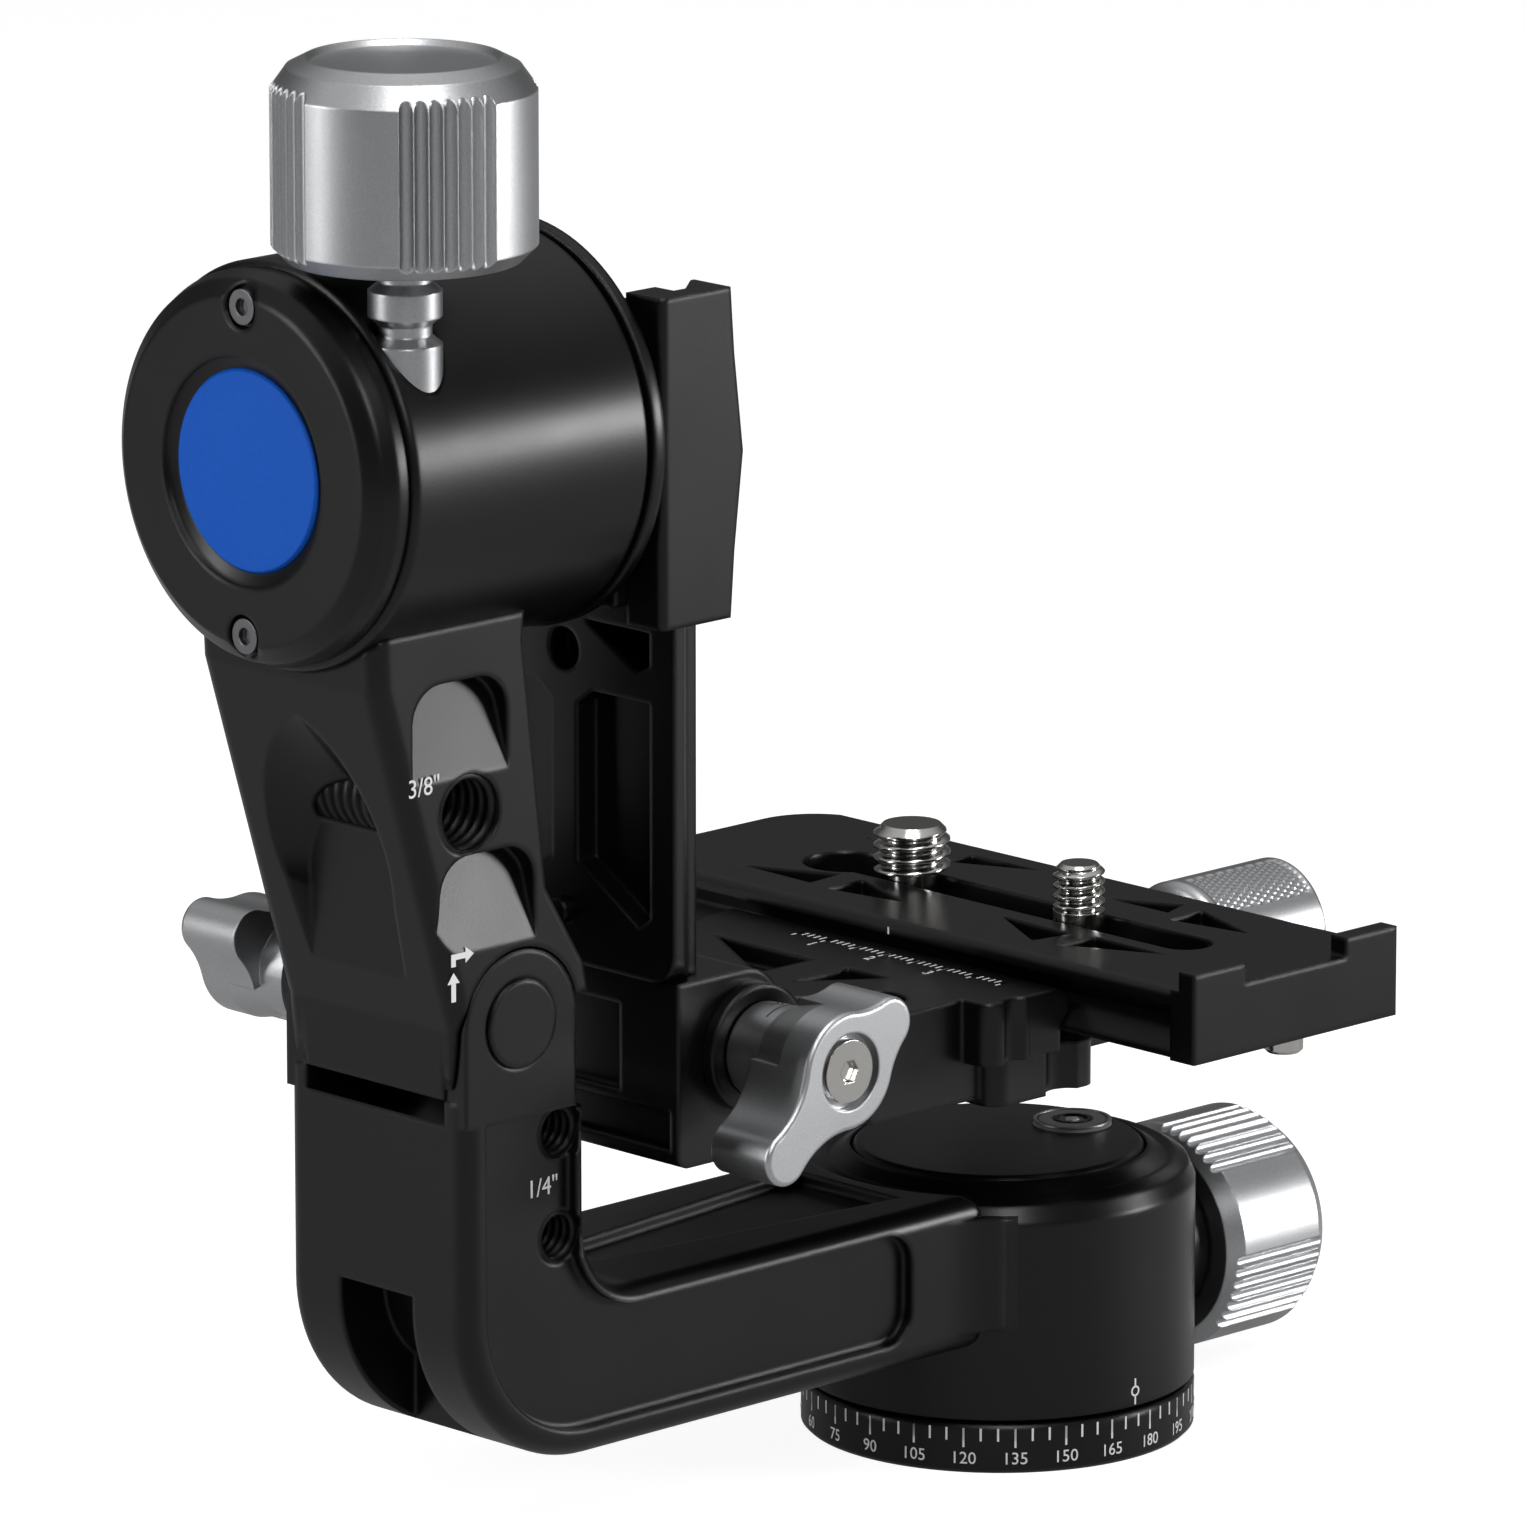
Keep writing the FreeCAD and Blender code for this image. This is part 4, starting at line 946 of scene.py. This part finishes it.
@dataclass
class LevelVial:
    """Round spirit level in the housing's cover."""

    at: tuple[float, float] = (12.0 * MM, -1.0 * MM)
    radius: float = 4.85 * MM

    def build(self, paints: dict[str, bpy.types.Material]) -> None:
        """Make the rim, ring and bubble.

        Args:
            paints: Materials by short name.
        """
        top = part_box("bubble_vial")[1][2]
        low, high = top - 0.2 * MM, top + 0.05 * MM
        bubble = [(0.9 * MM, low), (0.8 * MM, top), (0.3 * MM, high)]
        pieces = (("level_rim", self.ring_outline(self.radius - 0.4 * MM, self.radius, low, high), "silver"),
                  ("level_ring", self.ring_outline(1.9 * MM, 2.3 * MM, low, high), "black"),
                  ("level_bubble", bubble, "ink"))
        for name, outline, paint in pieces:
            mesh = turned_mesh(outline, hollow=name != "level_bubble")
            mesh.transform(Matrix.Translation((*self.at, 0)))
            new_piece(name, mesh, paints[paint], "pan")

    def ring_outline(self, inner: float, outer: float, low: float, high: float) -> list[tuple[float, float]]:
        """Square section of a thin ring."""
        return [(inner, low), (outer, low), (outer, high), (inner, high)]


@dataclass
class Studio:
    """Plain floor, soft lamps and the photograph's camera."""

    azimuth: float = -44.3
    elevation: float = 13.3
    distance: float = 1555.0 * MM
    focal_px: float = 12723.0
    frame_px: float = 1525.0
    target_side: float = -29.03 * MM
    target_up: float = 83.39 * MM
    sensor: float = 36.0
    ambient: float = 0.1
    floor_half: float = 6.0
    floor_glow: float = 0.86
    floor_in_gloss: float = 0.15
    lit_centre: tuple[float, float, float] = (-0.05, 0.0, 0.09)

    def build(self) -> None:
        """Make the whole studio."""
        self.floor()
        self.camera()
        self.lamps()
        self.world()

    def floor(self) -> None:
        """Lay a wide pale floor that the camera sees as white."""
        shape = bmesh.new()
        bmesh.ops.create_grid(shape, x_segments=8, y_segments=8, size=self.floor_half)
        mesh = plain_mesh("floor", shape)
        material = bpy.data.materials.new("floor_pale")
        material.use_nodes = True
        shader = material.node_tree.nodes["Principled BSDF"]
        shader.inputs["Base Color"].default_value = linear("b4b4b4")
        shader.inputs["Roughness"].default_value = 0.9
        shader.inputs["Emission Color"].default_value = (1, 1, 1, 1)
        path = add_node(material.node_tree, "ShaderNodeLightPath")
        glow = add_node(material.node_tree, "ShaderNodeMath", operation="MULTIPLY")
        glow.inputs[1].default_value = self.floor_glow
        seen = add_node(material.node_tree, "ShaderNodeMath", operation="MULTIPLY_ADD")
        seen.inputs[1].default_value = self.floor_in_gloss
        material.node_tree.links.new(path.outputs["Is Glossy Ray"], seen.inputs[0])
        material.node_tree.links.new(path.outputs["Is Camera Ray"], seen.inputs[2])
        material.node_tree.links.new(seen.outputs[0], glow.inputs[0])
        material.node_tree.links.new(glow.outputs[0], shader.inputs["Emission Strength"])
        mesh.materials.append(material)
        floor = bpy.data.objects.new("floor", mesh)
        bpy.context.scene.collection.objects.link(floor)

    def camera(self) -> None:
        """Place the camera by its angles, distance and target."""
        a = math.radians(self.azimuth)
        e = math.radians(self.elevation)
        right = Vector((math.cos(a), math.sin(a), 0))
        back = Vector((math.sin(a) * math.cos(e), -math.cos(a) * math.cos(e), math.sin(e)))
        target = right * self.target_side + Vector((0, 0, self.target_up))
        data = bpy.data.cameras.new("camera")
        data.sensor_width = self.sensor
        data.lens = self.focal_px / self.frame_px * self.sensor
        data.clip_end = 50.0
        camera = bpy.data.objects.new("camera", data)
        up = back.cross(right)
        matrix = Matrix((right, up, back)).transposed().to_4x4()
        matrix.translation = target + back * self.distance
        camera.matrix_world = matrix
        bpy.context.scene.collection.objects.link(camera)
        bpy.context.scene.camera = camera

    def lamp(self, name: str, at: tuple[float, float, float], size: tuple[float, float],
             watts: float) -> None:
        """Add one soft rectangular lamp that faces the middle of the head.

        Args:
            name: Lamp name.
            at: Its place in metres.
            size: Its width and height in metres.
            watts: Its power.
        """
        data = bpy.data.lights.new(name, "AREA")
        data.shape = "RECTANGLE"
        data.size, data.size_y = size
        data.energy = watts
        lamp = bpy.data.objects.new(name, data)
        lamp.location = at
        lamp.rotation_euler = (Vector(self.lit_centre) - Vector(at)).to_track_quat("-Z", "Y").to_euler()
        bpy.context.scene.collection.objects.link(lamp)

    def lamps(self) -> None:
        """Hang a top bank, a strip at the left, a low bank at the right front and a high front strip."""
        self.lamp("top_bank", (-0.2, -0.25, 0.9), (0.4, 0.4), 4.0)
        self.lamp("left_strip", (-0.9, 0.45, 0.35), (0.15, 0.6), 4.0)
        self.lamp("right_front_bank", (0.75, -0.8, 0.2), (0.3, 0.2), 7.0)
        self.lamp("front_left_strip", (-0.6, -0.75, 0.75), (0.14, 0.5), 4.0)

    def world(self) -> None:
        """Light the world plainly, white to the camera and a dome that is brighter overhead to gloss rays."""
        world = bpy.data.worlds.new("studio")
        bpy.context.scene.world = world
        world.use_nodes = True
        tree = world.node_tree
        ground = tree.nodes["Background"]
        ground.inputs["Color"].default_value = (1, 1, 1, 1)
        path = add_node(tree, "ShaderNodeLightPath")
        where = add_node(tree, "ShaderNodeTexCoord")
        height = add_node(tree, "ShaderNodeSeparateXYZ")
        dome = add_node(tree, "ShaderNodeMapRange", interpolation_type="SMOOTHSTEP",
                        From_Min=0.3, From_Max=0.95, To_Min=0.1, To_Max=0.8)
        clear = add_node(tree, "ShaderNodeMath", operation="MAXIMUM")
        gloss = add_node(tree, "ShaderNodeMath", operation="MULTIPLY")
        total = add_node(tree, "ShaderNodeMath", operation="MAXIMUM")
        level = add_node(tree, "ShaderNodeMath", operation="MAXIMUM")
        level.inputs[1].default_value = self.ambient
        links = tree.links
        links.new(where.outputs["Generated"], height.inputs[0])
        links.new(height.outputs["Z"], dome.inputs["Value"])
        links.new(path.outputs["Is Camera Ray"], clear.inputs[0])
        links.new(path.outputs["Is Transmission Ray"], clear.inputs[1])
        links.new(path.outputs["Is Glossy Ray"], gloss.inputs[0])
        links.new(dome.outputs["Result"], gloss.inputs[1])
        links.new(clear.outputs[0], total.inputs[0])
        links.new(gloss.outputs[0], total.inputs[1])
        links.new(total.outputs[0], level.inputs[0])
        links.new(level.outputs[0], ground.inputs["Strength"])


def paint_nodes(frame: dict, paints: dict[str, bpy.types.Material]) -> None:
    """Give every CAD node the finish of its record slot.

    Args:
        paints: Materials by short name.
    """
    slots = {entry["node"]: entry["material_slot"] for entry in frame["record"]["subparts"]}
    for name, node in frame["nodes"].items():
        paint = paints[FINISH_OF_NODE.get(name, FINISH_OF_SLOT[slots[name]])]
        if not node.material_slots:
            node.data.materials.append(paint)
        for place in node.material_slots:
            place.material = paint


def main() -> None:
    """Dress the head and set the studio."""
    logging.basicConfig(level=logging.INFO)
    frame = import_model()
    bpy.context.scene.view_settings.view_transform = "Standard"
    paints = Palette().build()
    paint_nodes(frame, paints)
    DialMarks().build(paints)
    ClampScale().build(paints)
    CameraStud("camera_screw_large", "screw_large", 15.2 * MM, 4.7625 * MM, 1.5875 * MM).build(paints)
    CameraStud("camera_screw_small", "screw_small", -13.6 * MM, 3.175 * MM, 1.27 * MM).build(paints)
    KnurledKnob().build(paints)
    ArmThreads().build(paints)
    ArmMarks().build(paints)
    LeverMarks("clamp_lever_marks", "platform_lock", (-60.5 * MM, -20.3 * MM, 62.0 * MM), -1).build(paints)
    LeverMarks("fold_lever_marks", "fold_lock", (-95.0 * MM, 17.8 * MM, 70.5 * MM), 1).build(paints)
    LevelVial().build(paints)
    Studio().build()


if __name__ == "__main__":
    main()
